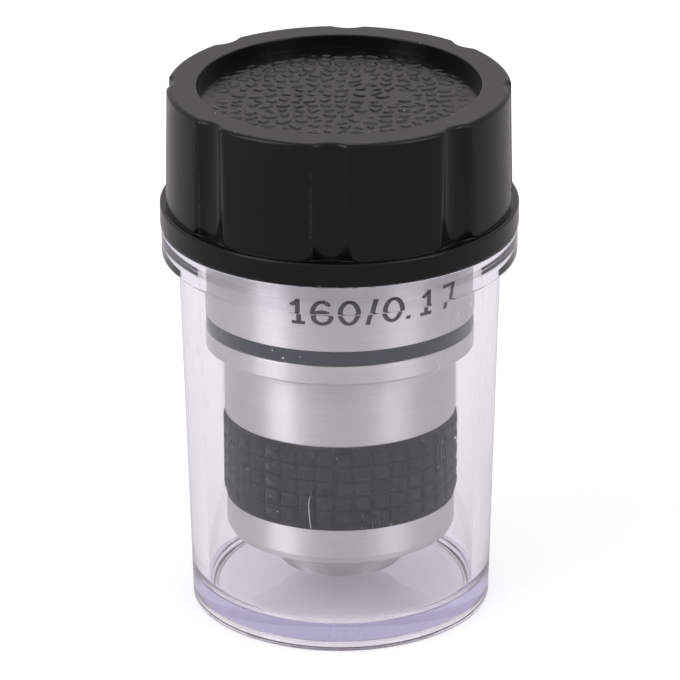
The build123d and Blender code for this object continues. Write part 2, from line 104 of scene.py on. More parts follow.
def rounded(corners: Sequence[tuple[float, float, float]], closed: bool, steps: int = 5) -> Grid:
    """Gives an outline round corners.

    A corner with rounding q gets the arc of radius q that touches both legs: it starts q / tan(half the
    corner's angle) away from the corner. A point close to the arc on each leg keeps the leg's shading flat.

    Args:
        corners: (r, z, q) of each corner.
        closed: whether the last corner joins the first.
        steps: parts of a full quarter arc.

    Returns:
        The outline's (r, z) points.
    """
    places = np.array([corner[:2] for corner in corners], dtype=float)
    count = len(places)
    outline: list[Grid] = []
    for index, (_, _, q) in enumerate(corners):
        here = places[index]
        if q <= 0 or (not closed and index in (0, count - 1)):
            outline.append(here)
            continue
        back = places[index - 1] - here
        ahead = places[(index + 1) % count] - here
        back_length, ahead_length = np.linalg.norm(back), np.linalg.norm(ahead)
        back, ahead = back / back_length, ahead / ahead_length
        half = math.acos(float(np.clip(back @ ahead, -1, 1))) / 2
        reach = min(q / math.tan(half), 0.45 * back_length, 0.45 * ahead_length)
        q = reach * math.tan(half)
        bisector = (back + ahead) / np.linalg.norm(back + ahead)
        centre = here + bisector * q / math.sin(half)
        start, end = here + back * reach, here + ahead * reach
        first = math.atan2(*(start - centre)[::-1])
        sweep = (math.atan2(*(end - centre)[::-1]) - first + math.pi) % (2 * math.pi) - math.pi
        parts = max(2, round(steps * abs(sweep) / (math.pi / 2)))
        turn = first + sweep * np.linspace(0, 1, parts + 1)
        arc = centre + q * np.stack([np.cos(turn), np.sin(turn)], axis=1)
        outline.append(start + back * min(0.04, 0.2 * reach + 0.005))
        outline.extend(arc)
        outline.append(end + ahead * min(0.04, 0.2 * reach + 0.005))
    return np.array(outline)


def divided(outline: Grid, step: float, low: float, high: float, least_r: float = 0.0) -> Grid:
    """Puts points at most step apart on the outline's runs that lie wholly between the heights low and high.

    Args:
        outline: (r, z) points.
        step: the longest run that stays.
        low: lowest height of the runs that are divided.
        high: highest height of the runs that are divided.
        least_r: smallest radius of the runs that are divided.

    Returns:
        The outline with the added points.
    """
    parts = [outline[:1]]
    for a, b in zip(outline[:-1], outline[1:]):
        foot, top = sorted((a[1], b[1]))
        inside = foot >= low - 1e-6 and top <= high + 1e-6 and min(a[0], b[0]) >= least_r
        count = max(1, math.ceil(np.linalg.norm(b - a) / step)) if inside else 1
        parts.append(a + (b - a) * np.linspace(0, 1, count + 1)[1:, None])
    return np.concatenate(parts)


def evenly(count: int) -> Grid:
    """Angles of count equal turns, in radians."""
    return np.linspace(0, 2 * np.pi, count, endpoint=False)


def spots(r: Grid, angle: Grid, z: Grid) -> Grid:
    """The points (r cos a, r sin a, z) of the three grids."""
    return np.stack(np.broadcast_arrays(r * np.cos(angle), r * np.sin(angle), z), axis=-1)


def placed(name: str, data: Any) -> Piece:
    """A new object of that data, linked to the scene."""
    thing = bpy.data.objects.new(name, data)
    bpy.context.scene.collection.objects.link(thing)
    return thing


def meshed(name: str, points: Grid, faces: list[list[int]]) -> Piece:
    """A mesh object of points in millimetres and of faces."""
    mesh = bpy.data.meshes.new(name)
    mesh.from_pydata((points.reshape(-1, 3) * MM).tolist(), [], faces)
    mesh.update()
    return placed(name, mesh)


def skin(name: str, points: Grid, row_loop: bool, column_loop: bool, poles: Sequence[int] = ()) -> Piece:
    """Makes a mesh object from a grid of points.

    Args:
        name: the object's name.
        points: (rows, columns, 3), in millimetres.
        row_loop: whether the last row joins the first.
        column_loop: whether the last column joins the first.
        poles: rows whose points are one point.

    Returns:
        The new object, smooth shaded.
    """
    rows, columns = points.shape[:2]
    index = np.arange(rows * columns).reshape(rows, columns)
    for row in poles:
        index[row] = index[row, 0]
    lower = np.arange(rows if row_loop else rows - 1)
    upper = (lower + 1) % rows
    left = np.arange(columns if column_loop else columns - 1)
    right = (left + 1) % columns
    a, b = index[lower], index[upper]
    quads = np.stack([a[:, left], a[:, right], b[:, right], b[:, left]], axis=-1)
    first, last = np.isin(lower, poles), np.isin(upper, poles)
    plain = quads[~(first | last)]
    fans = np.concatenate([quads[first][..., [0, 2, 3]].ravel(), quads[last][..., [0, 1, 2]].ravel()])
    used, packed = np.unique(np.concatenate([plain.ravel(), fans]), return_inverse=True)
    faces = packed[: plain.size].reshape(-1, 4).tolist() + packed[plain.size :].reshape(-1, 3).tolist()
    piece = meshed(name, points.reshape(-1, 3)[used], faces)
    piece.data.polygons.foreach_set("use_smooth", np.ones(len(faces), dtype=bool))
    piece.data.validate()
    return piece


def turned(
    name: str,
    outline: Grid,
    angles: Grid,
    closed: bool = True,
    relief: Relief | None = None,
    lift: Relief | None = None,
) -> Piece:
    """Turns an outline about the axis.

    A point is (r cos a, r sin a, z), with z changed by the lift and then r by the relief.

    Args:
        name: the object's name.
        outline: (r, z) points, anticlockwise, so that the faces point outwards.
        angles: the columns' angles, in radians.
        closed: whether the outline is a ring. If not, it runs from the axis to the axis.
        relief: gives the radius from the radius, height and angle grids.
        lift: gives the height from the same grids.

    Returns:
        The new object.
    """
    r, z, angle = np.broadcast_arrays(outline[:, :1], outline[:, 1:], angles[None, :])
    z = lift(r, z, angle) if lift else z
    r = relief(r, z, angle) if relief else r
    return skin(name, spots(r, angle, z), closed, True, () if closed else (0, len(outline) - 1))


# Shader node groups


class Nodes:
    """Adds nodes to one tree and joins them."""

    def __init__(self, tree: bpy.types.NodeTree) -> None:
        """Empties the tree and starts in it."""
        self.tree = tree
        tree.nodes.clear()

    def feed(self, node: bpy.types.Node, inputs: dict[int | str, Any]) -> None:
        """Sets a node's inputs.

        Args:
            node: the node.
            inputs: a value or a socket for each named or numbered input. A colour may lack its alpha.
        """
        for key, value in inputs.items():
            if isinstance(value, Socket):
                self.tree.links.new(value, node.inputs[key])
            else:
                opaque = node.inputs[key].type == "RGBA" and len(value) == 3
                node.inputs[key].default_value = (*value, 1) if opaque else value

    def put(self, kind: str, inputs: dict[int | str, Any] | None = None, **settings: Any) -> bpy.types.Node:
        """Adds a node.

        Args:
            kind: the node's type, without its ShaderNode prefix.
            inputs: what its inputs take.
            settings: the node's own properties.

        Returns:
            The node.
        """
        node = self.tree.nodes.new("ShaderNode" + kind)
        for key, value in settings.items():
            setattr(node, key, value)
        self.feed(node, inputs or {})
        return node

    def sum(self, operation: str, *values: Any, clamp: bool = False) -> Socket:
        """The result of a Math node on those values."""
        return self.put("Math", dict(enumerate(values)), operation=operation, use_clamp=clamp).outputs[0]

    def ramp(self, value: Any, low: float, high: float, to_low: float = 0.0, to_high: float = 1.0) -> Socket:
        """Carries value from the range low to high into another range, smoothly and clamped."""
        ends = {"Value": value, "From Min": low, "From Max": high, "To Min": to_low, "To Max": to_high}
        return self.put("MapRange", ends, interpolation_type="SMOOTHSTEP").outputs["Result"]

    def blend(self, factor: Any, a: Any, b: Any) -> Socket:
        """A colour between a, at factor 0, and b, at factor 1."""
        return self.put("Mix", {0: factor, 6: a, 7: b}, data_type="RGBA").outputs[2]

    def noise(self, place: Any, scale: Any, detail: float) -> Socket:
        """Noise between 0 and 1 at that place."""
        return self.put("TexNoise", {"Vector": place, "Scale": scale, "Detail": detail}).outputs[0]

    def millimetres(self) -> Socket:
        """The place on the piece, in millimetres."""
        place = self.put("TexCoord").outputs["Object"]
        return self.put("VectorMath", {0: place, "Scale": 1 / MM}, operation="SCALE").outputs[0]

    def parts(self, vector: Any) -> Any:
        """The x, y and z outputs of a vector."""
        return self.put("SeparateXYZ", {0: vector}).outputs


def shader_group(name: str, recipe: Callable[[Nodes, Any], Socket], **inputs: float) -> Any:
    """Makes a shader node group whose result is one number.

    Args:
        name: the group's name.
        recipe: gives the result from the group's nodes and its inputs' sockets.
        inputs: the default of each number that goes in, with an underscore for a space.

    Returns:
        The group.
    """
    group = bpy.data.node_groups.new(name, "ShaderNodeTree")
    for key, value in inputs.items():
        key = key.replace("_", " ")
        group.interface.new_socket(key, in_out="INPUT", socket_type="NodeSocketFloat").default_value = value
    group.interface.new_socket("Value", in_out="OUTPUT", socket_type="NodeSocketFloat")
    nodes = Nodes(group)
    given = group.nodes.new("NodeGroupInput").outputs
    nodes.feed(group.nodes.new("NodeGroupOutput"), {"Value": recipe(nodes, given)})
    return group


class Effects:
    """The effects that several finishes share, each one a node group with a value between 0 and 1."""

    def __init__(self) -> None:
        """Makes the groups."""
        self.groups = {
            "grain": shader_group("Grain", self.grain, Per_mm=12.0, Coarse=0.35),
            "wear": shader_group("Edge wear", self.wear, Amount=0.5, From=0.52, To=0.6),
            "dust": shader_group("Dust", self.dust, Per_mm=1.2, Size=0.08, Share=0.2),
            "turning": shader_group("Turning marks", self.turning, Per_mm=9.0),
            "scuffs": shader_group("Scuffs", self.scuffs, Width=0.004, Amount=0.5),
        }

    @staticmethod
    def grain(nodes: Nodes, given: Any) -> Socket:
        """Fine unevenness of a moulded or blasted skin: one coarse and one fine noise, added."""
        place = nodes.millimetres()
        coarse = nodes.sum("SUBTRACT", nodes.noise(place, 0.35, 4.0), 0.5)
        shift = nodes.sum("MULTIPLY", coarse, given["Coarse"])
        return nodes.sum("ADD", nodes.noise(place, given["Per mm"], 3.0), shift, clamp=True)

    @staticmethod
    def wear(nodes: Nodes, given: Any) -> Socket:
        """Rubbed edges: the surface's pointiness, broken up by noise."""
        pointed = nodes.put("NewGeometry").outputs["Pointiness"]
        ends = {"Value": pointed, "From Min": given["From"], "From Max": given["To"]}
        edge = nodes.put("MapRange", ends).outputs[0]
        patches = nodes.ramp(nodes.noise(nodes.millimetres(), 1.7, 5.0), 0.38, 0.62)
        return nodes.sum("MULTIPLY", nodes.sum("MULTIPLY", edge, patches), given["Amount"], clamp=True)

    @staticmethod
    def dust(nodes: Nodes, given: Any) -> Socket:
        """Dust flecks: the centres of some cells, picked at random."""
        place = nodes.millimetres()
        bent = nodes.put("TexNoise", {"Vector": place, "Scale": 9.0}).outputs["Color"]
        bend = {0: bent, 1: (0.08, 0.08, 0.08), 2: place}
        moved = nodes.put("VectorMath", bend, operation="MULTIPLY_ADD").outputs[0]
        cells = nodes.put("TexVoronoi", {"Vector": moved, "Scale": given["Per mm"]}).outputs
        near = nodes.sum("LESS_THAN", cells["Distance"], given["Size"])
        chosen = nodes.sum("LESS_THAN", nodes.parts(cells["Color"])[0], given["Share"])
        return nodes.sum("MULTIPLY", near, chosen)

    @staticmethod
    def turning(nodes: Nodes, given: Any) -> Socket:
        """Marks of a lathe tool: noise that changes fast along the axis and hardly round it."""
        x, y, z = nodes.parts(nodes.millimetres())
        squeezed = {0: nodes.sum("MULTIPLY", x, 0.02), 1: nodes.sum("MULTIPLY", y, 0.02), 2: z}
        return nodes.noise(nodes.put("CombineXYZ", squeezed).outputs[0], given["Per mm"], 4.0)

    @staticmethod
    def scuffs(nodes: Nodes, given: Any) -> Socket:
        """Hair scratches: thin lines where a stretched noise crosses its middle value, in patches."""
        place = nodes.millimetres()
        stretch = {"Vector": place, "Rotation": (0.3, 0.9, 0.4), "Scale": (1.6, 1.2, 0.12)}
        lines = nodes.noise(nodes.put("Mapping", stretch).outputs[0], 1.1, 1.0)
        off = nodes.sum("ABSOLUTE", nodes.sum("SUBTRACT", lines, 0.5))
        patches = nodes.ramp(nodes.noise(place, 0.25, 2.0), 0.55, 0.7)
        thin = nodes.sum("MULTIPLY", nodes.sum("LESS_THAN", off, given["Width"]), patches)
        return nodes.sum("MULTIPLY", thin, given["Amount"])


# Finishes


@dataclass(frozen=True)
class Material:
    """A finish: a Principled shader whose sockets are fed by the shared effects."""

    effects: Effects
    name: str
    colour: Colour
    roughness: float
    metallic: float = 0.0

    def build(self) -> bpy.types.Material:
        """Makes the material."""
        material = bpy.data.materials.new(self.name)
        material.use_nodes = True
        nodes = Nodes(material.node_tree)
        plain = {"Base Color": self.colour, "Roughness": self.roughness, "Metallic": self.metallic}
        shader = nodes.put("BsdfPrincipled", plain)
        nodes.feed(shader, self.dress(nodes))
        nodes.put("OutputMaterial", self.output(nodes, shader.outputs[0]))
        return material

    def dress(self, nodes: Nodes) -> dict[str, Any]:
        """What the shader's inputs take."""
        raise NotImplementedError

    def output(self, nodes: Nodes, surface: Socket) -> dict[str, Any]:
        """What the material's output takes."""
        return {"Surface": surface}

    def effect(self, nodes: Nodes, name: str, **inputs: float) -> Socket:
        """Places a shared effect in the material.

        Args:
            nodes: the material's nodes.
            name: the effect's name.
            inputs: its values, with an underscore for a space.

        Returns:
            Its result.
        """
        values = {key.replace("_", " "): value for key, value in inputs.items()}
        return nodes.put("Group", values, node_tree=self.effects.groups[name]).outputs[0]

    def uneven(self, nodes: Nodes, grain: Socket, less: float, more: float) -> Socket:
        """The roughness, from less below the plain one to more above it with the grain."""
        return nodes.ramp(grain, 0.2, 0.8, self.roughness - less, self.roughness + more)

    def times(self, factor: float) -> Colour:
        """The colour, brighter or darker by that factor."""
        return tuple(factor * part for part in self.colour)

    @staticmethod
    def bump(nodes: Nodes, height: Socket, depth: float) -> Socket:
        """The normal of a relief of that depth in millimetres, from a height between 0 and 1."""
        return nodes.put("Bump", {"Height": height, "Distance": depth * MM, "Strength": 1.0}).outputs[0]


class BlackPlastic(Material):
    """Satin black moulded plastic."""

    def dress(self, nodes: Nodes) -> dict[str, Any]:
        """What the shader's inputs take."""
        grain = self.effect(nodes, "grain", Per_mm=16.0, Coarse=0.6)
        wear = self.effect(nodes, "wear", Amount=0.3, From=0.56, To=0.72)
        dust = self.effect(nodes, "dust", Per_mm=0.55, Size=0.035, Share=0.2)
        scuffs = self.effect(nodes, "scuffs", Width=0.002, Amount=0.3)
        rubbed = nodes.blend(nodes.sum("MAXIMUM", wear, scuffs), self.colour, (0.05, 0.048, 0.047))
        return {
            "Base Color": nodes.blend(dust, rubbed, (0.32, 0.31, 0.29)),
            "Roughness": self.uneven(nodes, grain, 0.07, 0.08),
            "Specular IOR Level": 0.2,
            "Normal": self.bump(nodes, grain, 0.004),
        }


@dataclass(frozen=True)
class ClearPlastic(Material):
    """Clear moulded plastic with a lilac cast, through which lamps light what it holds."""

    tint: Colour = (0.156, 0.094, 0.5)
    density: float = 32.0

    def dress(self, nodes: Nodes) -> dict[str, Any]:
        """What the shader's inputs take."""
        grain = self.effect(nodes, "grain", Per_mm=1.3, Coarse=0.5)
        rough = nodes.ramp(grain, 0.3, 0.8, self.roughness, self.roughness + 0.03)
        scuffs = self.effect(nodes, "scuffs", Width=0.003, Amount=0.3)
        return {"Transmission Weight": 1.0, "IOR": 1.49, "Roughness": nodes.sum("ADD", rough, scuffs)}

    def output(self, nodes: Nodes, surface: Socket) -> dict[str, Any]:
        """What the material's output takes: a tinted clear surface for shadows, and absorption inside."""
        clear = nodes.put("BsdfTransparent", {"Color": (0.895, 0.88, 0.9)}).outputs[0]
        shadow = nodes.put("LightPath").outputs["Is Shadow Ray"]
        mix = nodes.put("MixShader", {0: shadow, 1: surface, 2: clear}).outputs[0]
        inside = nodes.put("VolumeAbsorption", {"Color": self.tint, "Density": self.density}).outputs[0]
        return {"Surface": mix, "Volume": inside}


@dataclass(frozen=True)
class TurnedMetal(Material):
    """Satin plated metal off the lathe, with paint in what is engraved."""

    engraved: bool = False
    anisotropy: float = 0.92
    relief: float = 0.0025

    def dress(self, nodes: Nodes) -> dict[str, Any]:
        """What the shader's inputs take."""
        lines = self.effect(nodes, "turning", Per_mm=11.0)
        grain = self.effect(nodes, "grain", Per_mm=6.0, Coarse=0.8)
        wear = self.effect(nodes, "wear", Amount=0.5, From=0.56, To=0.68)
        dust = self.effect(nodes, "dust", Per_mm=0.6, Size=0.03, Share=0.2)
        colour = nodes.blend(nodes.ramp(lines, 0.35, 0.65), self.colour, self.times(0.94))
        colour = nodes.blend(wear, colour, (0.78, 0.78, 0.79))
        fed = {
            "Base Color": nodes.blend(dust, colour, (0.85, 0.85, 0.84)),
            "Roughness": self.uneven(nodes, grain, 0.05, 0.06),
            "Anisotropic": self.anisotropy,
            "Anisotropic Rotation": 0.25,
            "Tangent": nodes.put("Tangent", direction_type="RADIAL", axis="Z").outputs[0],
            "Normal": self.bump(nodes, lines, self.relief),
        }
        if self.engraved:
            paint = nodes.ramp(nodes.put("Attribute", attribute_name="engraved").outputs["Fac"], 0.02, -0.02)
            fed["Base Color"] = nodes.blend(paint, fed["Base Color"], (0.016, 0.015, 0.018))
            fed["Roughness"] = nodes.sum("MULTIPLY_ADD", paint, 0.3, fed["Roughness"])
            fed["Metallic"] = nodes.sum("MULTIPLY_ADD", paint, -self.metallic, self.metallic)
        return fed


@dataclass(frozen=True)
class Enamel(Material):
    """Slate enamel in a turned groove, with painted shade along its edges where the groove's walls shadow
    it, and flecked with dust.
    """

    low_z: float = 27.22
    high_z: float = 28.62

    def dress(self, nodes: Nodes) -> dict[str, Any]:
        """What the shader's inputs take."""
        grain = self.effect(nodes, "grain", Per_mm=2.2, Coarse=0.6)
        dust = self.effect(nodes, "dust", Per_mm=0.9, Size=0.07, Share=0.25)
        z = nodes.parts(nodes.millimetres())[2]
        above, below = nodes.sum("SUBTRACT", z, self.low_z), nodes.sum("SUBTRACT", self.high_z, z)
        # Painted shade: the colour darkens within 0.22 mm of the groove's edges, in place of the shadow of
        # the groove's walls.
        edge = nodes.ramp(nodes.sum("MINIMUM", above, below), 0.0, 0.22, 1.0, 0.0)
        colour = nodes.blend(nodes.ramp(grain, 0.3, 0.7), self.colour, self.times(1.35))
        colour = nodes.blend(edge, colour, self.times(0.55))
        return {
            "Base Color": nodes.blend(dust, colour, (0.75, 0.76, 0.78)),
            "Roughness": nodes.ramp(grain, 0.2, 0.8, 0.28, 0.42),
            "Specular IOR Level": 0.25,
            "Normal": self.bump(nodes, grain, 0.012),
        }


@dataclass(frozen=True)
class WornBlack(Material):
    """Matt black over metal, greyed in patches where it is handled, with edges rubbed grey; the greying is
    kept off the grooves, so they stay dark as painted shade.
    """

    rub: float = 0.35
    greying: float = 5.0

    def dress(self, nodes: Nodes) -> dict[str, Any]:
        """What the shader's inputs take."""
        grain = self.effect(nodes, "grain", Per_mm=9.0, Coarse=0.7)
        wear = self.effect(nodes, "wear", Amount=self.rub, From=0.52, To=0.64)
        dust = self.effect(nodes, "dust", Per_mm=0.6, Size=0.05, Share=0.12)
        patches = self.effect(nodes, "grain", Per_mm=1.1, Coarse=0.6)
        # Painted shade: hollows of low pointiness (the grooves) get none of the handled greying and stay
        # darker than the pads.
        outside_groove_shade = nodes.ramp(nodes.put("NewGeometry").outputs["Pointiness"], 0.465, 0.5)
        handled_and_groove_shade = nodes.sum("MULTIPLY", nodes.ramp(patches, 0.25, 0.75), outside_groove_shade)
        colour = nodes.blend(handled_and_groove_shade, self.colour, self.times(self.greying))
        colour = nodes.blend(wear, colour, (0.2, 0.2, 0.215))
        return {
            "Base Color": nodes.blend(dust, colour, (0.7, 0.7, 0.7)),
            "Roughness": self.uneven(nodes, grain, 0.06, 0.08),
            "Specular IOR Level": 0.1,
            "Normal": self.bump(nodes, grain, 0.008),
        }


class PlainMetal(Material):
    """Drawn or plated metal with a fine uneven polish."""

    def dress(self, nodes: Nodes) -> dict[str, Any]:
        """What the shader's inputs take."""
        grain = self.effect(nodes, "grain", Per_mm=8.0, Coarse=0.7)
        return {
            "Base Color": nodes.blend(nodes.ramp(grain, 0.3, 0.7), self.colour, self.times(0.7)),
            "Roughness": self.uneven(nodes, grain, 0.05, 0.08),
            "Normal": self.bump(nodes, grain, 0.004),
        }


class LensGlass(Material):
    """Optical glass with a coating that reflects purple, faintly uneven."""

    def dress(self, nodes: Nodes) -> dict[str, Any]:
        """What the shader's inputs take."""
        grain = self.effect(nodes, "grain", Per_mm=0.8, Coarse=0.4)
        return {
            "Transmission Weight": 1.0,
            "IOR": 1.52,
            "Coat Weight": 0.6,
            "Coat Tint": (0.62, 0.45, 0.9),
            "Roughness": nodes.ramp(grain, 0.3, 0.8, 0.0, 0.03),
        }


class Palette:
    """Every finish of the object, made once."""

    def __init__(self) -> None:
        """Makes the materials."""
        effects = Effects()
        satin = (0.62, 0.615, 0.62)

        def make(kind: type[Material], *values: Any, **more: Any) -> bpy.types.Material:
            """Builds one finish of that kind."""
            return kind(effects, *values, **more).build()

        self.made = {
            Finish.CLEAR_PLASTIC: make(ClearPlastic, "Clear plastic", (0.94, 0.925, 0.935), 0.0),
            Finish.BLACK_PLASTIC: make(BlackPlastic, "Black plastic", (0.0034, 0.0033, 0.0034), 0.2),
            Finish.SATIN_PLATE: make(TurnedMetal, "Satin plate", satin, 0.42, 1.0),
            Finish.BLUE_ENAMEL: make(Enamel, "Blue enamel", (0.011, 0.015, 0.03), 0.4),
            Finish.GRIP_BLACK: make(WornBlack, "Grip black", (0.0036, 0.0036, 0.0046), 0.5),
            Finish.SPRING_STEEL: make(PlainMetal, "Spring steel", (0.42, 0.41, 0.4), 0.3, 1.0),
            Finish.OPTICAL_GLASS: make(LensGlass, "Optical glass", (1.0, 1.0, 1.0), 0.0),
            Finish.BLACK_ANODISED: make(WornBlack, "Black anodised", (0.01, 0.01, 0.011), 0.42, rub=0.3),
        }
        self.engraved = make(TurnedMetal, "Engraved plate", satin, 0.42, 1.0, engraved=True)
        bright = (0.5, 0.495, 0.505)
        self.polished = make(TurnedMetal, "Polished plate", bright, 0.42, 1.0, anisotropy=1.0, relief=0.0006)
        self.lint = make(PlainMetal, "Pale lint", (0.8, 0.79, 0.78), 0.8)

    def lay(self, piece: Piece, body: Body, finish: Finish, *nodes: str,
            own: bpy.types.Material | None = None) -> None:
        """Gives a finished piece its material and body.

        Args:
            piece: the piece.
            body: what it rides on.
            finish: its slot, whose material it gets.
            nodes: the CAD nodes that it stands for.
            own: a material of its own, if it has one.
        """
        piece.data.materials.append(own or self.made[finish])
        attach(piece, body.value)
        if nodes:
            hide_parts(*nodes)
        LOG.info("%s: %d faces, rides on %s", piece.name, len(piece.data.polygons), body.value)


# Engraving


@dataclass(frozen=True)
class Engraving:
    """Figures cut into the collar: the tube length and the cover glass, both in millimetres."""

    wall_r: float = 12.0
    foot_z: float = 31.1
    height: float = 2.55
    half_stroke: float = 0.21
    thinning: float = 1.35
    depth: float = 0.05
    places: tuple[tuple[str, float], ...] = (
        ("1", -17.0), ("6", -7.1), ("0", 3.7), ("/", 12.7),
        ("0", 21.5), (".", 28.6), ("1", 36.8), ("7", 47.6),
    )

    @staticmethod
    def ring(x: float, y: float, rx: float, ry: float, start: float = 0.0, end: float = 360.0) -> Grid:
        """Points of an ellipse's arc, from the angle start to the angle end in degrees."""
        turn = np.radians(np.linspace(start, end, 41))
        return np.stack([x + rx * np.cos(turn), y + ry * np.sin(turn)], axis=1)

    def strokes(self, sign: str) -> list[Grid]:
        """The pen's paths for one sign, with the sign's foot at 0 and its middle at x 0.

        Args:
            sign: a figure, a stroke or a point.

        Returns:
            A polyline for each path, in millimetres.
        """
        s = self.half_stroke / self.thinning
        full = self.height
        top = full - s
        middle = full / 2
        paths: dict[str, list[Grid]] = {
            "0": [self.ring(0, middle, 0.76, middle - s)],
            "1": [
                np.array([(0.06, 0.0), (0.06, full)]),
                np.array([(-0.55, s), (0.62, s)]),
                np.array([(-0.55, full - 0.62), (0.06, full - 0.2)]),
            ],
            "6": [
                self.ring(0, s + 0.66, 0.76, 0.66),
                self.ring(0.04, middle, 0.8, middle - s, 50, 205),
            ],
            "7": [np.array([(-0.72, top), (0.72, top)]), np.array([(0.6, full - 0.05), (-0.12, 0.0)])],
            "/": [np.array([(-0.34, 0.0), (0.34, full)])],
            ".": [np.array([(-0.21, 0.2), (0.21, 0.2)])],
        }
        return paths[sign]

    def distance(self, z: Grid, angle: Grid) -> Grid:
        """How far each place on the wall is outside the strokes, in millimetres; inside them it is negative.

        It is the least distance to any of the paths' runs, less half the stroke's width. Heights count for
        more than widths, so that level strokes are thinner. A path of a single run has square ends.

        Args:
            z: heights.
            angle: angles in radians.

        Returns:
            The distances.
        """
        across = np.radians(from_front(angle)) * self.wall_r
        up = z - self.foot_z
        least = np.full(z.shape, 9.0)
        for sign, place in self.places:
            x = across - math.radians(place) * self.wall_r
            near = (np.abs(x) < 2.0) & (up > -1.0) & (up < self.height + 1.0)
            stretch = np.array([1.0, self.thinning])
            spot = np.stack([x[near], up[near]], axis=-1) * stretch
            best = np.full(len(spot), 9.0)
            for path in self.strokes(sign):
                for a, b in zip(path[:-1] * stretch, path[1:] * stretch):
                    run = (b - a) / np.linalg.norm(b - a)
                    along = (spot - a) @ run
                    beyond = np.maximum(-along, along - np.linalg.norm(b - a))
                    aside = np.abs((spot - a) @ np.array([-run[1], run[0]]))
                    if len(path) == 2:
                        gap = np.maximum(aside, beyond + self.half_stroke)
                    else:
                        gap = np.hypot(aside, np.maximum(beyond, 0.0))
                    best = np.minimum(best, gap)
            least[near] = np.minimum(least[near], best)
        return least - self.half_stroke


# Sub-assemblies


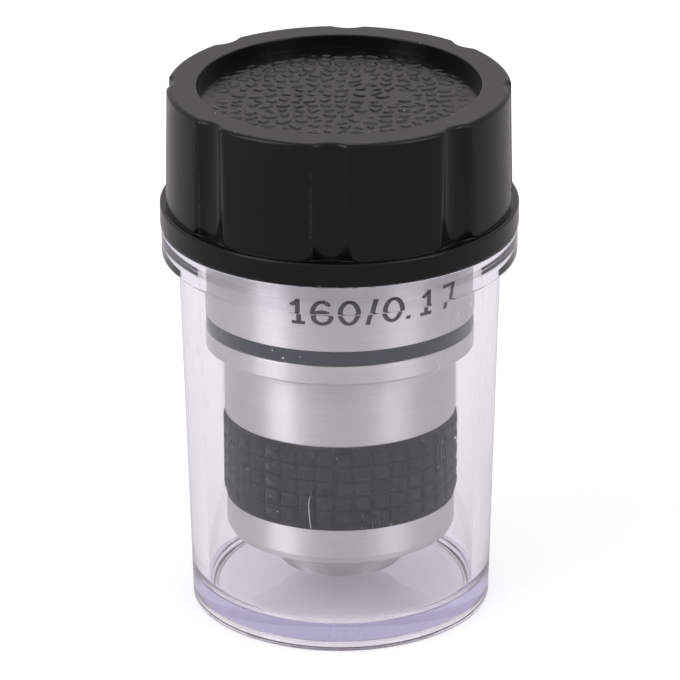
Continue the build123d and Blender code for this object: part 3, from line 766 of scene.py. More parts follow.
@dataclass
class Case:
    """The screw case: a clear tapered jar under a black fluted lid."""

    palette: Palette
    foot_bore_r: float = 11.899
    slope: float = 0.027758
    wall: float = 1.5
    floor_z: float = 2.0
    foot_round: float = 0.25
    foot_rim: float = 1.5
    hollow_z: float = 0.6
    floor_round: float = 1.3
    rim_low_z: float = 33.3
    rim_fillet: float = 1.1
    split_z: float = 36.0
    rim_r: float = 15.798
    neck_r: float = 13.648
    neck_top_z: float = 44.6
    split_gap: float = 0.01
    ridge: float = 0.28
    ridge_pitch: float = 2.6
    ridge_fade: float = 0.6
    bore_ridge: float = 0.2
    lid_bore_r: float = 14.248
    flange_r: float = 15.898
    flange_top_z: float = 38.2
    lid_foot_r: float = 15.398
    lid_top_r: float = 15.166
    lid_top_z: float = 48.9
    ceiling_z: float = 46.14
    recess_z: float = 47.64
    recess_r: float = 12.526
    boss_r: float = 11.61
    boss_bore_r: float = 10.21
    boss_z: float = 39.3
    flutes: int = 8
    flute_turn: float = -3.0
    flute_width: float = 3.1
    flute_depth: float = 0.5
    flute_soft: float = 0.09
    lobe_round: float = 0.9
    leather_lap: float = 0.15
    pebble_pitch: float = 1.3
    pebble_gap: tuple[float, float] = (0.11, 0.24)
    pebble_reach: float = 0.66
    pebble_slope: float = 0.08
    pebble_h: float = 0.105
    pebble_jitter: float = 0.37
    leather_columns: int = 704
    leather_ring: float = 0.112
    leather_seed: int = 11
    loose_crumbs: int = 22
    crumb_seed: int = 7
    fibre_start: tuple[float, float] = (-11.9, 15.4)
    fibre_drop: float = 3.3
    fibre_r: float = 0.026
    crumb_places: tuple[tuple[float, float, float], ...] = (
        (-36.2, 16.9, 0.07), (-23.8, 13.4, 0.06), (-27.3, 29.5, 0.08), (-24.6, 29.0, 0.08),
        (-20.5, 28.4, 0.13), (-19.7, 28.1, 0.06), (-14.2, 28.7, 0.06), (-2.4, 29.3, 0.04),
        (-7.6, 20.0, 0.04), (13.0, 11.6, 0.06), (18.7, 12.3, 0.09), (46.8, 19.1, 0.15), (48.6, 18.2, 0.1),
        (47.7, 17.1, 0.09), (49.6, 15.7, 0.13), (41.4, 13.5, 0.05), (-30.8, 5.2, 0.04), (36.4, 3.9, 0.05),
        (-18.4, 2.8, 0.04),
    )

    def bore_r(self, z: float | Grid) -> float | Grid:
        """Radius of the jar's bore at height z."""
        return self.foot_bore_r + z * self.slope

    def side_r(self, z: float | Grid) -> float | Grid:
        """Radius of the jar's outer wall at height z."""
        return self.bore_r(z) + self.wall

    def screw(self, z: Grid, angle: Grid, low: float, high: float, lead: float) -> Grid:
        """Height of a screw ridge, 0 to 1: a rounded wave along the axis that climbs one pitch a turn.

        Args:
            z: heights.
            angle: angles in radians.
            low: where the ridge starts.
            high: where it ends.
            lead: part of a pitch by which it is moved up.

        Returns:
            The ridge's height.
        """
        turn = (z / self.ridge_pitch - angle / (2 * np.pi) - lead) % 1.0
        wave = smooth_step(0.28, 0.42, turn) * (1 - smooth_step(0.58, 0.72, turn))
        fade = self.ridge_fade
        return wave * smooth_step(low, low + fade, z) * (1 - smooth_step(high - fade, high, z))

    def jar(self) -> Piece:
        """The jar: its outline turned, with a screw ridge round its neck."""
        split = self.split_z - self.split_gap
        outline = rounded([
            (0, self.hollow_z, 0), (self.side_r(0) - self.foot_rim, self.hollow_z, 0.15),
            (self.side_r(0) - self.foot_rim, 0, 0.1), (self.side_r(0), 0, self.foot_round),
            (self.side_r(self.rim_low_z), self.rim_low_z, self.rim_fillet),
            (self.rim_r, self.rim_low_z, 0.3), (self.rim_r, split, 0.12), (self.neck_r, split, 0.1),
            (self.neck_r, self.neck_top_z, 0.25), (self.bore_r(self.split_z), self.neck_top_z, 0.25),
            (self.bore_r(self.split_z), self.split_z, 0.1),
            (self.bore_r(self.floor_z), self.floor_z, self.floor_round), (0, self.floor_z, 0),
        ], closed=False, steps=8)
        outline = divided(outline, 0.12, self.split_z + 0.1, self.neck_top_z - 0.2, self.neck_r - 0.01)

        def relief(r: Grid, z: Grid, angle: Grid) -> Grid:
            """Adds the screw ridge to the neck's outer wall."""
            on_neck = np.abs(r - self.neck_r) < 0.01
            ridge = self.ridge * self.screw(z, angle, self.split_z + 1.4, self.neck_top_z - 0.7, 0.0)
            return r + np.where(on_neck, ridge, 0.0)

        return turned("case_jar_clear", outline, evenly(288), closed=False, relief=relief)

    def flute_angles(self) -> Grid:
        """The lid's columns: close together at the flutes' edges, apart between the flutes."""
        offsets = np.unique(np.round(np.concatenate([
            np.linspace(-10.4, 10.4, 27), np.linspace(-7.2, -4.6, 11), np.linspace(4.6, 7.2, 11),
            np.linspace(10.4, 34.6, 12)[:-1],
        ]), 3))
        pitch = 360.0 / self.flutes
        every = np.concatenate([offsets + self.flute_turn + FRONT + pitch * k for k in range(self.flutes)])
        return np.radians(np.sort(every % 360.0))

    def fluted(self, r: Grid, z: Grid, angle: Grid) -> Grid:
        """Radius of the lid's side with its flutes.

        A flute is the near side of a circle, c cos t - sqrt(f^2 - c^2 sin^2 t) from the axis, where f is its
        radius, c its centre's distance and t the angle from its middle. The side is the smooth least of that
        and of the plain wall. Near the flange the flute widens by a quarter round, which rounds the lobes'
        lower corners.

        Args:
            r: the plain wall's radius.
            z: heights.
            angle: angles in radians.

        Returns:
            The radius.
        """
        pitch = 360.0 / self.flutes
        off = (from_front(angle) - self.flute_turn + pitch / 2) % pitch - pitch / 2
        lobe = self.lobe_round
        rise = np.clip(z - self.flange_top_z, 0.0, lobe)
        spread = lobe - np.sqrt(np.maximum(lobe**2 - (lobe - rise) ** 2, 0.0))
        across = np.maximum(np.abs(np.radians(off)) * r - spread, 0.0) / r
        f = (self.flute_width**2 / 4 + self.flute_depth**2) / (2 * self.flute_depth)
        c = r - self.flute_depth + f
        under = f**2 - (c * np.sin(across)) ** 2
        near = np.where(under > 0, c * np.cos(across) - np.sqrt(np.maximum(under, 0)), r + 1.0)
        return 0.5 * (r + near - np.sqrt((near - r) ** 2 + self.flute_soft**2))

    def lid(self) -> Piece:
        """The lid: turned round the boss, the skirt and the side, with flutes in the side."""
        ledge = self.flange_top_z
        outline = rounded([
            (0, self.ceiling_z, 0), (self.boss_bore_r, self.ceiling_z, 0.1),
            (self.boss_bore_r, self.boss_z, 0.15), (self.boss_r, self.boss_z, 0.15),
            (self.boss_r, self.ceiling_z, 0.1), (self.lid_bore_r, self.ceiling_z, 0.2),
            (self.lid_bore_r, self.split_z, 0.1), (self.flange_r, self.split_z, 0.25),
            (self.flange_r, ledge, 0.3), (self.lid_foot_r + 0.02, ledge, 0.03),
            (self.lid_foot_r, ledge + 0.14, 0.06), (self.lid_top_r, self.lid_top_z, 0.35),
            (self.recess_r, self.lid_top_z, 0.12), (self.recess_r, self.recess_z, 0.05),
            (0, self.recess_z, 0),
        ], closed=False)
        outline = divided(outline, 0.15, self.split_z + 1.0, self.ceiling_z - 0.5, self.lid_bore_r - 0.01)
        outline = divided(outline, 0.1, ledge + 0.1, ledge + 1.2, self.lid_top_r)

        def relief(r: Grid, z: Grid, angle: Grid) -> Grid:
            """Cuts the flutes into the side and adds the screw ridge to the bore."""
            side = (r > self.recess_r + 0.8) & (z > ledge + 0.005)
            lean = (self.lid_top_r - self.lid_foot_r) * (z - ledge) / (self.lid_top_z - ledge)
            plain = self.lid_foot_r + lean
            lost = plain - self.fluted(plain, z, angle)
            share = np.clip((r - self.recess_r - 0.8) / 0.9, 0, 1)
            bore = np.abs(r - self.lid_bore_r) < 0.01
            ridge = self.bore_ridge * self.screw(z, angle, self.split_z + 1.6, self.ceiling_z - 2.6, 0.5)
            return r - np.where(side, lost * share, 0.0) - np.where(bore, ridge, 0.0)

        return turned("case_lid_black", outline, self.flute_angles(), closed=False, relief=relief)

    def leather(self) -> Piece:
        """The recess's floor: a thin plate with raised leather grain, whose edge runs into the wall.

        Each pebble is a cell of a Voronoi pattern on scattered points, read at a place that some waves bend.
        It rises steeply where half the difference between the distances to the two nearest points passes the
        pebble's own gap, and no further from its point than the pebble's reach.

        Returns:
            The plate.
        """
        rng = np.random.default_rng(self.leather_seed)
        reach = self.recess_r + self.leather_lap
        pitch = self.pebble_pitch
        grid = np.arange(-reach - pitch, reach + 2 * pitch, pitch)
        seeds = np.stack(np.meshgrid(grid, grid), axis=-1).reshape(-1, 2)
        seeds += rng.uniform(-self.pebble_jitter, self.pebble_jitter, seeds.shape) * pitch
        gaps = rng.uniform(*self.pebble_gap, len(seeds))
        heights = rng.uniform(0.8, 1.0, len(seeds)) * self.pebble_h
        low = self.recess_z + 0.002
        ground = low + 0.03
        rings = np.linspace(reach - 0.06, 0, int(reach / self.leather_ring))
        outline = np.concatenate([
            [[0, low], [reach, low], [reach, ground]],
            np.stack([rings, np.full(len(rings), ground)], axis=1),
        ])

        def lift(r: Grid, z: Grid, angle: Grid) -> Grid:
            """Raises the pebbles."""
            x, y = r * np.cos(angle), r * np.sin(angle)
            bent_x = x + 0.1 * np.sin(2.3 * y + 0.6 * x) + 0.05 * np.sin(6.1 * y - 2.0 * x + 1.0)
            bent_y = y + 0.1 * np.sin(2.1 * x - 0.8 * y + 2.0) + 0.05 * np.sin(5.7 * x + 2.6 * y)
            raised = []
            for some in np.array_split(np.stack([bent_x.ravel(), bent_y.ravel()], axis=-1), 24):
                far = np.hypot(some[:, :1] - seeds[:, 0], some[:, 1:] - seeds[:, 1])
                two = np.argpartition(far, 1, axis=1)[:, :2]
                near = np.take_along_axis(far, two, axis=1)
                first = np.where(near[:, 0] <= near[:, 1], two[:, 0], two[:, 1])
                inside = np.abs(near[:, 0] - near[:, 1]) / 2 - gaps[first]
                inside = np.minimum(inside, self.pebble_reach - near.min(axis=1))
                raised.append(heights[first] * smooth_step(0.0, self.pebble_slope, inside))
            rise = np.concatenate(raised).reshape(z.shape)
            fade = 1 - smooth_step(self.recess_r - 3.2, self.recess_r - 0.2, r)
            return np.where(z > ground - 0.001, z + rise * fade, z)

        return turned("case_lid_leather", outline, evenly(self.leather_columns), closed=False, lift=lift)

    def crumbs(self) -> Piece:
        """Dust on the jar: flat six-sided crumbs at the listed places on its wall and at seeded ones.

        A crumb's corners lie at random distances round its place, in two layers between an inner and an
        outer point.

        Returns:
            All the crumbs as one object.
        """
        rng = np.random.default_rng(self.crumb_seed)
        spans = (60, 320), (3, 32), (0.025, 0.06)
        loose = np.stack([rng.uniform(*span, self.loose_crumbs) for span in spans], axis=1)
        places = np.concatenate([np.array(self.crumb_places), loose])
        count = len(places)
        far = places[:, 2:] * rng.uniform(0.55, 1.3, (count, 6))
        turn = evenly(6) + rng.uniform(0, 2 * np.pi, (count, 1))
        flat = np.stack([far * np.cos(turn), 0.7 * far * np.sin(turn)], axis=-1)
        spot = np.zeros((count, 14, 3))
        spot[:, 1:7, :2] = flat
        spot[:, 7:13, :2] = 0.75 * flat
        spot[:, :, 2] = np.array([-0.01] + 6 * [0.004] + 6 * [0.022] + [0.028])
        z = places[:, 1:2] + spot[..., 1]
        r = self.side_r(z) + spot[..., 2]
        angle = np.radians(places[:, :1] + FRONT) + spot[..., 0] / r
        low = np.arange(1, 7)
        after = np.roll(low, -1)
        base = 14 * np.arange(count)[:, None, None]
        sides = base + np.stack([low, after, after + 6, low + 6], axis=-1)
        feet = np.stack([after, low, 0 * low], axis=-1)
        heads = np.stack([low + 6, after + 6, 0 * low + 13], axis=-1)
        caps = base + np.concatenate([feet, heads])
        faces = sides.reshape(-1, 4).tolist() + caps.reshape(-1, 3).tolist()
        return meshed("case_jar_crumbs", spots(r, angle, z), faces)

    def fibre(self) -> Piece:
        """A lint fibre on the jar's wall: a thin tube along a bent way down the wall."""
        way = np.linspace(0, 1, 28)
        z = (self.fibre_start[1] - self.fibre_drop * way)[:, None]
        angle = np.radians(FRONT + self.fibre_start[0] + 0.9 * way**2 + 1.1 * (1 - way) ** 8)
        thick = np.full((len(way), 1), self.fibre_r)
        thick[[0, -1]] = 0.0
        ring = evenly(6)
        r = self.side_r(z) + 0.018 + thick * np.cos(ring)
        turn = angle[:, None] + thick * np.sin(ring) / r
        return skin("case_jar_fibre", spots(r, turn, z), False, True, (0, len(way) - 1))

    def build(self) -> None:
        """Makes the case's pieces."""
        lay, lint = self.palette.lay, self.palette.lint
        lay(self.jar(), Body.JAR, Finish.CLEAR_PLASTIC, "case_jar")
        lay(self.crumbs(), Body.JAR, Finish.CLEAR_PLASTIC, own=lint)
        lay(self.fibre(), Body.JAR, Finish.CLEAR_PLASTIC, own=lint)
        lay(self.lid(), Body.LID, Finish.BLACK_PLASTIC, "case_lid")
        lay(self.leather(), Body.LID, Finish.BLACK_PLASTIC)


@dataclass
class Objective:
    """What the lid holds: collar, band, sleeve, grip, front ring and spring."""

    palette: Palette
    engraving: Engraving = field(default_factory=Engraving)
    collar_r: float = 12.0
    collar_z: float = 25.28
    band_z: float = 27.22
    band_top_z: float = 28.62
    band_r: float = 11.94
    groove_r: float = 11.65
    shoulder_z: float = 39.3
    thread_top_z: float = 44.1
    core_r: float = 9.708
    crest: float = 0.44
    pitch: float = 25.4 / 36
    rear_bore_r: float = 8.008
    land_z: float = 29.48
    land_top_z: float = 31.48
    tube_bore_r: float = 6.452
    seat_r: float = 9.9
    sleeve_bore_r: float = 9.05
    barrel_r: float = 10.39
    barrel_z: float = 18.73
    grip_z: float = 10.68
    grip_r: float = 10.55
    grip_margin: float = 0.45
    columns: int = 40
    rows: int = 5
    groove: float = 0.42
    groove_depth: float = 0.25
    crown: float = 0.07
    pad_turn: float = 6.0
    ring_r: float = 10.27
    ring_z: float = 7.35
    ring_chamfer: tuple[float, float] = (0.3, 0.68)
    ring_bore_r: float = 7.65
    spigot_z: float = 12.18
    spring_foot_z: float = 15.21
    wire_r: float = 0.4
    coil_r: float = 7.726
    coils: float = 6.5
    coil_steps: int = 44
    wire_sides: int = 12

    def collar(self) -> Piece:
        """The collar: its outline turned, with engraved figures and the mounting thread.

        The thread is a rounded wave along the axis, half of 1 - cos of a full turn per pitch, that climbs a
        pitch a turn and fades at both ends.

        Returns:
            The collar, with the distance to the figures' strokes as the attribute engraved.
        """
        c, g = self.collar_r, self.groove_r
        outline = rounded([
            (self.seat_r + 0.02, self.collar_z, 0.05), (c - 0.3, self.collar_z, 0.06),
            (c, self.collar_z + 0.3, 0.1), (c, self.band_z, 0.07), (g, self.band_z, 0.03),
            (g, self.band_top_z, 0.03), (c, self.band_top_z, 0.07), (c, self.shoulder_z - 0.3, 0.1),
            (c - 0.3, self.shoulder_z, 0.1), (self.core_r - 0.2, self.shoulder_z, 0.05),
            (self.core_r - 0.2, self.shoulder_z + 0.8, 0.05), (self.core_r, self.shoulder_z + 1.0, 0.05),
            (self.core_r, self.thread_top_z - 0.5, 0.05), (self.core_r - 0.5, self.thread_top_z, 0.05),
            (self.rear_bore_r, self.thread_top_z, 0.1), (self.rear_bore_r, self.land_top_z, 0.05),
            (self.tube_bore_r, self.land_top_z, 0.05), (self.tube_bore_r, self.land_z, 0.05),
            (self.seat_r + 0.02, self.land_z, 0.05),
        ], closed=True, steps=4)
        split = int(np.argmax(outline[:, 1] > self.band_top_z + 0.2))
        words = self.engraving
        low, high = words.foot_z - 0.15, words.foot_z + words.height + 0.15
        rows = np.concatenate([[self.band_top_z + 0.3], np.arange(low, high, 0.06), [high]])
        wall = np.stack([np.full(len(rows), c), rows], axis=1)
        outline = np.concatenate([outline[:split], wall, outline[split:]])
        outline = divided(outline, 0.08, self.shoulder_z + 1.1, self.thread_top_z - 0.5, self.core_r - 0.01)
        text = np.radians(FRONT + np.arange(-24.0, 58.0, 0.28))
        rest = np.radians(FRONT + np.arange(58.0, 335.9, 2.2))
        angles = np.concatenate([text, rest])
        cut: dict[str, Grid] = {}

        def relief(r: Grid, z: Grid, angle: Grid) -> Grid:
            """Sinks the figures and raises the thread."""
            on_wall = (np.abs(r - c) < 0.001) & (z > low - 0.01) & (z < high + 0.01)
            gap = np.where(on_wall, words.distance(z, angle), 9.0)
            cut["engraved"] = gap
            sunk = words.depth * (1 - smooth_step(-0.05, 0.01, gap))
            on_core = np.abs(r - self.core_r) < 0.01
            start, end = self.shoulder_z + 1.1, self.thread_top_z - 0.55
            wave = 0.5 - 0.5 * np.cos(2 * np.pi * (z / self.pitch - angle / (2 * np.pi)))
            fade = smooth_step(start, start + 0.4, z) * (1 - smooth_step(end - 0.5, end, z))
            return r - sunk + np.where(on_core, self.crest * wave * fade, 0.0)

        piece = turned("mount_collar_turned", outline, angles, relief=relief)
        values = piece.data.attributes.new("engraved", "FLOAT", "POINT")
        values.data.foreach_set("value", cut["engraved"].ravel().astype(np.float32))
        return piece

    def band(self) -> Piece:
        """The enamel band: a ring whose face swells a little between its edges."""
        low, high = self.band_z + 0.015, self.band_top_z - 0.015
        outline = rounded([
            (self.groove_r + 0.01, low, 0.02), (self.band_r, low, 0.08), (self.band_r, high, 0.08),
            (self.groove_r + 0.01, high, 0.02),
        ], closed=True)
        outline = divided(outline, 0.15, low, high, self.band_r - 0.01)

        def relief(r: Grid, z: Grid, angle: Grid) -> Grid:
            """Lowers the face towards its edges and waves it a little round the ring."""
            edge = np.minimum(z - low, high - z)
            dip = 0.05 * (1 - smooth_step(0.0, 0.35, edge)) + 0.008 * np.sin(5 * angle)
            return np.where(r > self.band_r - 0.12, r - dip, r)

        return turned("identification_band_enamel", outline, evenly(200), relief=relief)

    def sleeve(self) -> Piece:
        """The sleeve: the plain barrel with its spigots."""
        outline = rounded([
            (self.sleeve_bore_r, self.grip_z, 0.03), (self.seat_r, self.grip_z, 0.03),
            (self.seat_r, self.barrel_z, 0.03), (self.barrel_r - 0.15, self.barrel_z, 0.04),
            (self.barrel_r, self.barrel_z + 0.15, 0.08), (self.barrel_r, self.collar_z, 0.03),
            (self.seat_r, self.collar_z, 0.03), (self.seat_r, self.land_z, 0.03),
            (self.sleeve_bore_r, self.land_z, 0.03),
        ], closed=True)
        return turned("outer_sleeve_turned", outline, evenly(224))

    def grip(self) -> Piece:
        """The grip: pads between milled and turned grooves.

        With s and l the distances to the nearest milled and turned groove and w three quarters of a groove's
        width, the depth is a smooth step of hypot(max(w - s, 0), max(w - l, 0)) / w. The middle of a pad
        stands a crown higher than its edges.

        Returns:
            The grip ring.
        """
        low, high = self.grip_z + 0.01, self.barrel_z - 0.01
        first = self.grip_z + self.grip_margin
        pad_h = (high + 0.01 - first - self.grip_margin) / self.rows
        half = self.groove / 2
        within = np.array([0.0, 0.35, 0.7, 1.0, 1.25, 1.6]) * half
        beats = np.concatenate([within, [0.3 * pad_h, 0.5 * pad_h, 0.7 * pad_h], pad_h - within[:0:-1]])
        heights = np.concatenate(
            [[low, low + 0.1, first - half - 0.02, first - 0.1]]
            + [first + k * pad_h + beats for k in range(self.rows)]
            + [[first + self.rows * pad_h, high - self.grip_margin + half + 0.03, high - 0.1, high]]
        )
        bore = self.seat_r + 0.02
        wall = np.stack([np.full(len(heights), self.grip_r), heights], axis=1)
        edge = self.grip_r - 0.3
        outline = np.concatenate([[[bore, low], [edge, low]], wall, [[edge, high], [bore, high]]])
        arc = 2 * np.pi * self.grip_r / self.columns
        turns = np.concatenate([within, [0.3 * arc, 0.5 * arc, 0.7 * arc], arc - within[:0:-1]])
        start = np.radians(self.pad_turn)
        angles = (turns[None, :] / self.grip_r + start + evenly(self.columns)[:, None]).ravel()

        def relief(r: Grid, z: Grid, angle: Grid) -> Grid:
            """Sinks the grooves and the plain edges."""
            round_way = (angle - start) % (2 * np.pi / self.columns) * self.grip_r
            side = np.minimum(round_way, arc - round_way)
            up = np.clip(z - first, 0.0, self.rows * pad_h)
            level = np.minimum(up % pad_h, pad_h - up % pad_h)
            wide = half * 1.5
            near = np.hypot(np.maximum(wide - side, 0), np.maximum(wide - level, 0)) / wide
            sunk = self.groove_depth * smooth_step(0.12, 0.95, near)
            crown = self.crown * (1 - smooth_step(0.1, 0.8, np.minimum(side, level)))
            margin = (z < first - 0.05) | (z > first + self.rows * pad_h + 0.05)
            face = np.where(margin, self.groove_depth, np.minimum(sunk + crown, self.groove_depth + 0.05))
            return np.where(r > self.grip_r - 0.01, r - face, r)

        return turned("grip_ring_pads", outline, angles, relief=relief)

    def front_ring(self) -> Piece:
        """The front ring that closes the sleeve's mouth."""
        outline = rounded([
            (self.ring_bore_r, self.ring_z, 0.08), (self.ring_r - self.ring_chamfer[0], self.ring_z, 0.1),
            (self.ring_r, self.ring_z + self.ring_chamfer[1], 0.06), (self.ring_r, self.grip_z, 0.04),
            (self.sleeve_bore_r - 0.02, self.grip_z, 0.03),
            (self.sleeve_bore_r - 0.02, self.spigot_z, 0.03), (self.ring_bore_r, self.spigot_z, 0.03),
        ], closed=True)
        return turned("front_ring_turned", outline, evenly(224))

    def spring(self) -> Piece:
        """The nose spring: a round wire along a helix, its ends ground flat at the spring's foot and top."""
        way = np.linspace(0, 1, int(self.coils * self.coil_steps) + 1)
        turn = 2 * np.pi * self.coils * way
        climb = (self.land_z - self.spring_foot_z) / (2 * np.pi * self.coils)
        lean = math.atan2(climb, self.coil_r)
        out = np.stack([np.cos(turn), np.sin(turn), 0 * turn], axis=-1)
        over = np.stack([math.sin(lean) * np.sin(turn), -math.sin(lean) * np.cos(turn),
                         np.full(len(turn), math.cos(lean))], axis=-1)
        middle = out * self.coil_r + np.array([0, 0, 1]) * (self.spring_foot_z + climb * turn)[:, None]
        ring = evenly(self.wire_sides)
        radius = np.full(len(way), self.wire_r)
        radius[[0, -1]] = 1e-6
        points = middle[:, None] + radius[:, None, None] * (
            np.cos(ring)[None, :, None] * out[:, None] + np.sin(ring)[None, :, None] * over[:, None]
        )
        points[..., 2] = np.clip(points[..., 2], self.spring_foot_z, self.land_z)
        points[[0, -1]] = points[[0, -1]].mean(axis=1, keepdims=True)
        return skin("nose_spring_wire", points[:, ::-1], False, True, (0, len(way) - 1))

    def build(self) -> None:
        """Makes the objective's pieces."""
        lay, rides, plate = self.palette.lay, Body.OBJECTIVE, Finish.SATIN_PLATE
        lay(self.collar(), rides, plate, "mount_collar", own=self.palette.engraved)
        lay(self.band(), rides, Finish.BLUE_ENAMEL, "identification_band")
        lay(self.sleeve(), rides, plate, "outer_sleeve")
        lay(self.grip(), rides, Finish.GRIP_BLACK, "grip_ring")
        lay(self.front_ring(), rides, plate, "front_ring")
        spring = self.spring()
        lay(spring, rides, Finish.SPRING_STEEL, "nose_spring")
        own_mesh(spring)


@dataclass
class Nose:
    """The sprung nose: barrel, front cell and the lenses inside."""

    palette: Palette
    tip_z: float = 3.94
    step_z: float = 6.0
    nose_r: float = 7.6
    flange_z: float = 12.18
    flange_top_z: float = 15.18
    flange_r: float = 9.0
    tube_r: float = 6.402
    tube_bore_r: float = 5.202
    tube_top_z: float = 30.98
    cell_r: float = 4.6
    web_z: float = 9.4
    stack_z: float = 10.2
    web_r: float = 3.4
    cone_r: float = 7.2
    tip_r: float = 5.5
    lens_z: float = 4.16
    lens_r: float = 1.5
    lens_edge: float = 0.3
    lens_curve: float = 1.605
    notch_half: float = 0.5
    notch_depth: float = 1.0
    carried: tuple[tuple[Finish, tuple[str, ...]], ...] = (
        (Finish.SPRING_STEEL, ("guide_pin",)),
        (Finish.BLACK_ANODISED,
         ("middle_cell", "rear_cell", "spacer_tube", "aperture_stop", "retaining_ring")),
        (Finish.OPTICAL_GLASS, ("middle_crown", "middle_flint", "rear_crown", "rear_flint")),
    )

    def barrel(self) -> Piece:
        """The nose barrel: its outline turned, with the guide pin's notch in its flange."""
        outline = rounded([
            (self.cell_r + 0.02, self.step_z, 0.03), (self.nose_r - 0.12, self.step_z, 0.03),
            (self.nose_r, self.step_z + 0.12, 0.05), (self.nose_r, self.flange_z, 0.03),
            (self.flange_r, self.flange_z, 0.04), (self.flange_r, self.flange_top_z, 0.04),
            (self.tube_r, self.flange_top_z, 0.03), (self.tube_r, self.tube_top_z, 0.08),
            (self.tube_bore_r, self.tube_top_z, 0.08), (self.tube_bore_r, self.stack_z, 0.03),
            (self.web_r, self.stack_z, 0.03), (self.web_r, self.web_z, 0.03),
            (self.cell_r + 0.02, self.web_z, 0.03),
        ], closed=True, steps=4)
        edge = math.degrees(math.asin(self.notch_half / self.flange_r))
        angles = np.radians(np.sort(np.concatenate([
            np.linspace(6, 354, 156), [-edge - 0.05, -edge, edge, edge + 0.05], np.linspace(-2.4, 2.4, 5)])))

        def relief(r: Grid, z: Grid, angle: Grid) -> Grid:
            """Cuts the notch, square to the guide pin at the right, into the flange's rim."""
            at_pin = np.abs(np.sin(angle) * self.flange_r) <= self.notch_half + 0.001
            at_pin &= np.cos(angle) > 0
            floor_r = (self.flange_r - self.notch_depth) / np.cos(angle)
            return np.where(at_pin & (r > self.nose_r + 0.3) & (z > self.flange_z - 0.001), floor_r, r)

        return turned("nose_barrel_turned", outline, angles, relief=relief)

    def front_cell(self) -> Piece:
        """The front cell: the cone at the tip with its seat for the front lens."""
        seat_r = self.lens_r + 0.02
        drop = math.sqrt(self.lens_curve**2 - self.lens_r**2)
        top_z = self.lens_z + self.lens_edge + self.lens_curve - drop
        outline = rounded([
            (1.2, self.lens_z, 0.02), (1.42, self.tip_z, 0.03), (self.tip_r, self.tip_z, 0.2),
            (self.cone_r, self.step_z, 0.05), (self.cell_r, self.step_z, 0.03),
            (self.cell_r, self.web_z, 0.03), (self.web_r, self.web_z, 0.03), (seat_r, top_z, 0.03),
            (seat_r, self.lens_z, 0.02),
        ], closed=True, steps=6)
        return turned("front_cell_turned", outline, evenly(176))

    def front_lens(self) -> Piece:
        """The front lens: flat below, with a cap of z = edge + sqrt(R^2 - r^2) - sqrt(R^2 - a^2) on top."""
        r = np.linspace(self.lens_r, 0, 16)
        edge_z = self.lens_z + self.lens_edge
        drop = math.sqrt(self.lens_curve**2 - self.lens_r**2)
        cap = np.stack([r, edge_z + np.sqrt(self.lens_curve**2 - r**2) - drop], axis=1)
        corners = [(0, self.lens_z, 0), (self.lens_r, self.lens_z, 0.03), (self.lens_r, edge_z, 0)]
        foot = rounded(corners, closed=False)
        return turned("front_lens_glass", np.concatenate([foot[:-1], cap]), evenly(64), closed=False)

    def dress(self) -> None:
        """Gives the carried-over CAD nodes their finishes."""
        for finish, names in self.carried:
            for name in names:
                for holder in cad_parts[name].material_slots:
                    holder.material = self.palette.made[finish]
                LOG.info("%s: CAD node with finish %s", name, finish.value)

    def build(self) -> None:
        """Makes the nose's pieces."""
        lay, polished = self.palette.lay, self.palette.polished
        lay(self.barrel(), Body.NOSE, Finish.SATIN_PLATE, "nose_barrel", own=polished)
        lay(self.front_cell(), Body.NOSE, Finish.SATIN_PLATE, "front_cell", own=polished)
        lay(self.front_lens(), Body.NOSE, Finish.OPTICAL_GLASS, "front_lens")
        self.dress()


# Studio


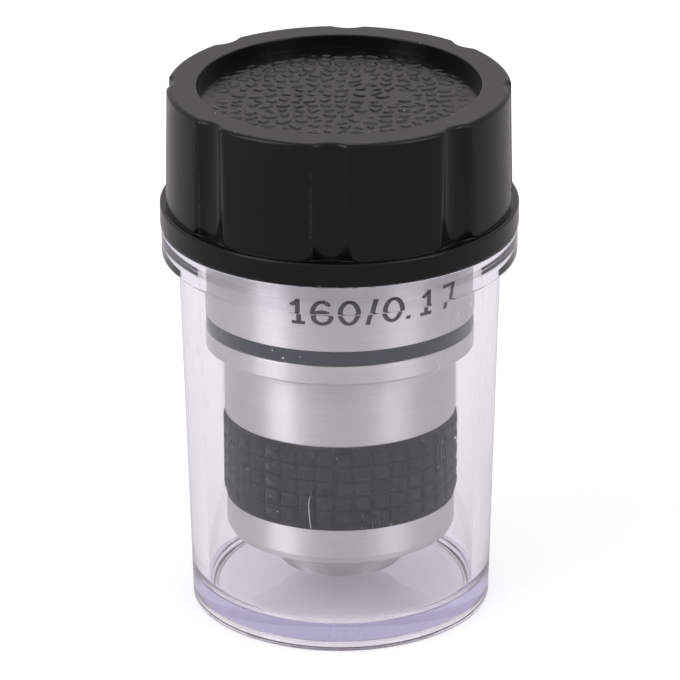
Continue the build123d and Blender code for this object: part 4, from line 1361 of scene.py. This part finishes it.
@dataclass
class Studio:
    """Camera, lamps, backdrop colour and floor."""

    distance: float = 500.0
    target_z: float = 24.445
    elevation: float = 23.0
    focal: float = 296.0
    roll: float = -0.23
    floor_drop: float = 0.05
    lamp_distance: float = 600.0
    floor_side: float = 6000.0
    world_strength: float = 0.6
    world_mirrored: float = 0.85

    def camera(self) -> None:
        """Places the camera: it looks along +Y from the front, down by its elevation."""
        data = bpy.data.cameras.new("camera")
        data.lens = self.focal
        data.sensor_width = 36.0
        data.clip_start = 0.01
        data.clip_end = 50.0
        rise = math.radians(self.elevation)
        away = Vector((0, -math.cos(rise), math.sin(rise))) * self.distance * MM
        camera = placed("camera", data)
        pitch = Matrix.Rotation(math.radians(90 - self.elevation), 4, "X")
        turn = pitch @ Matrix.Rotation(math.radians(self.roll), 4, "Z")
        camera.matrix_world = Matrix.Translation(away + Vector((0, 0, self.target_z * MM))) @ turn
        bpy.context.scene.camera = camera

    def lamp(
        self, name: str, azimuth: float, elevation: float, width: float, height: float, radiance: float
    ) -> None:
        """Hangs a soft lamp that faces the object.

        Args:
            name: its name.
            azimuth: degrees from the camera's side, positive to the right.
            elevation: degrees above the floor.
            width: its size across, in millimetres.
            height: its other size, in millimetres.
            radiance: how bright its face is, where white paper under the plain level is 1.
        """
        data = bpy.data.lights.new(name, "AREA")
        data.shape = "RECTANGLE"
        data.size = width * MM
        data.size_y = height * MM
        data.energy = radiance * math.pi * width * height * MM**2
        a, e = math.radians(azimuth + FRONT), math.radians(elevation)
        way = Vector((math.cos(a) * math.cos(e), math.sin(a) * math.cos(e), math.sin(e)))
        lamp = placed(name, data)
        lamp.location = way * self.lamp_distance * MM + Vector((0, 0, self.target_z * MM))
        lamp.rotation_euler = way.to_track_quat("Z", "Y").to_euler()

    @staticmethod
    def rays(nodes: Nodes) -> tuple[Any, Any, Any]:
        """Masks of the rays from the camera, of those through glass and of those off gloss alone."""
        path = nodes.put("LightPath").outputs
        through = path["Is Transmission Ray"]
        mirror = nodes.sum("MULTIPLY", path["Is Glossy Ray"], nodes.sum("SUBTRACT", 1.0, through))
        return path["Is Camera Ray"], through, mirror

    def world(self) -> None:
        """A white surround where it is seen, and a plain even light where it only lights."""
        world = bpy.data.worlds.new("surround")
        world.use_nodes = True
        bpy.context.scene.world = world
        nodes = Nodes(world.node_tree)
        camera, through, mirror = self.rays(nodes)
        plain = self.world_strength
        seen = nodes.sum("MULTIPLY_ADD", nodes.sum("ADD", camera, through), 1.0 - plain, plain)
        strength = nodes.sum("MULTIPLY_ADD", mirror, self.world_mirrored - plain, seen)
        tint = nodes.blend(mirror, (1, 1, 1), (1, 0.955, 0.96))
        sky = nodes.put("Background", {"Color": tint, "Strength": strength})
        nodes.put("OutputWorld", {"Surface": sky.outputs[0]})

    def floor(self) -> None:
        """A wide pale floor just under the object's foot, white where it is seen unshadowed."""
        ends = np.array([-0.5, 0.5]) * self.floor_side
        x, y = np.meshgrid(ends, ends)
        piece = skin("floor", np.stack([x, y, 0 * x - self.floor_drop], axis=-1), False, False)
        material = bpy.data.materials.new("Pale floor")
        material.use_nodes = True
        nodes = Nodes(material.node_tree)
        camera, through, mirror = self.rays(nodes)
        pale = nodes.blend(mirror, (0.9, 0.9, 0.9), (0.64, 0.615, 0.62))
        paper = nodes.put("BsdfDiffuse", {"Color": pale})
        level = nodes.sum("MULTIPLY_ADD", camera, 0.25, nodes.sum("MULTIPLY", through, 0.16))
        glow = nodes.put("Emission", {"Color": (1, 1, 1), "Strength": level})
        both = nodes.put("AddShader", {0: paper.outputs[0], 1: glow.outputs[0]})
        nodes.put("OutputMaterial", {"Surface": both.outputs[0]})
        piece.data.materials.append(material)

    def build(self) -> None:
        """Sets the studio up."""
        bpy.context.scene.view_settings.view_transform = "Standard"
        limits = bpy.context.scene.cycles
        limits.max_bounces = limits.transmission_bounces = 20
        limits.glossy_bounces = 14
        self.camera()
        self.lamp("lamp_left", -57, 30, 280, 560, 3.3)
        self.lamp("lamp_right", 53, 30, 300, 520, 2.2)
        self.lamp("lamp_top", 170, 65, 420, 420, 1.2)
        self.world()
        self.floor()


def main() -> None:
    """Builds the studio and the object, sub-assembly by sub-assembly."""
    logging.basicConfig(level=logging.INFO, format="%(name)s %(message)s", stream=sys.stdout)
    Studio().build()
    palette = Palette()
    Case(palette).build()
    Objective(palette).build()
    Nose(palette).build()


if __name__ == "__main__":
    main()
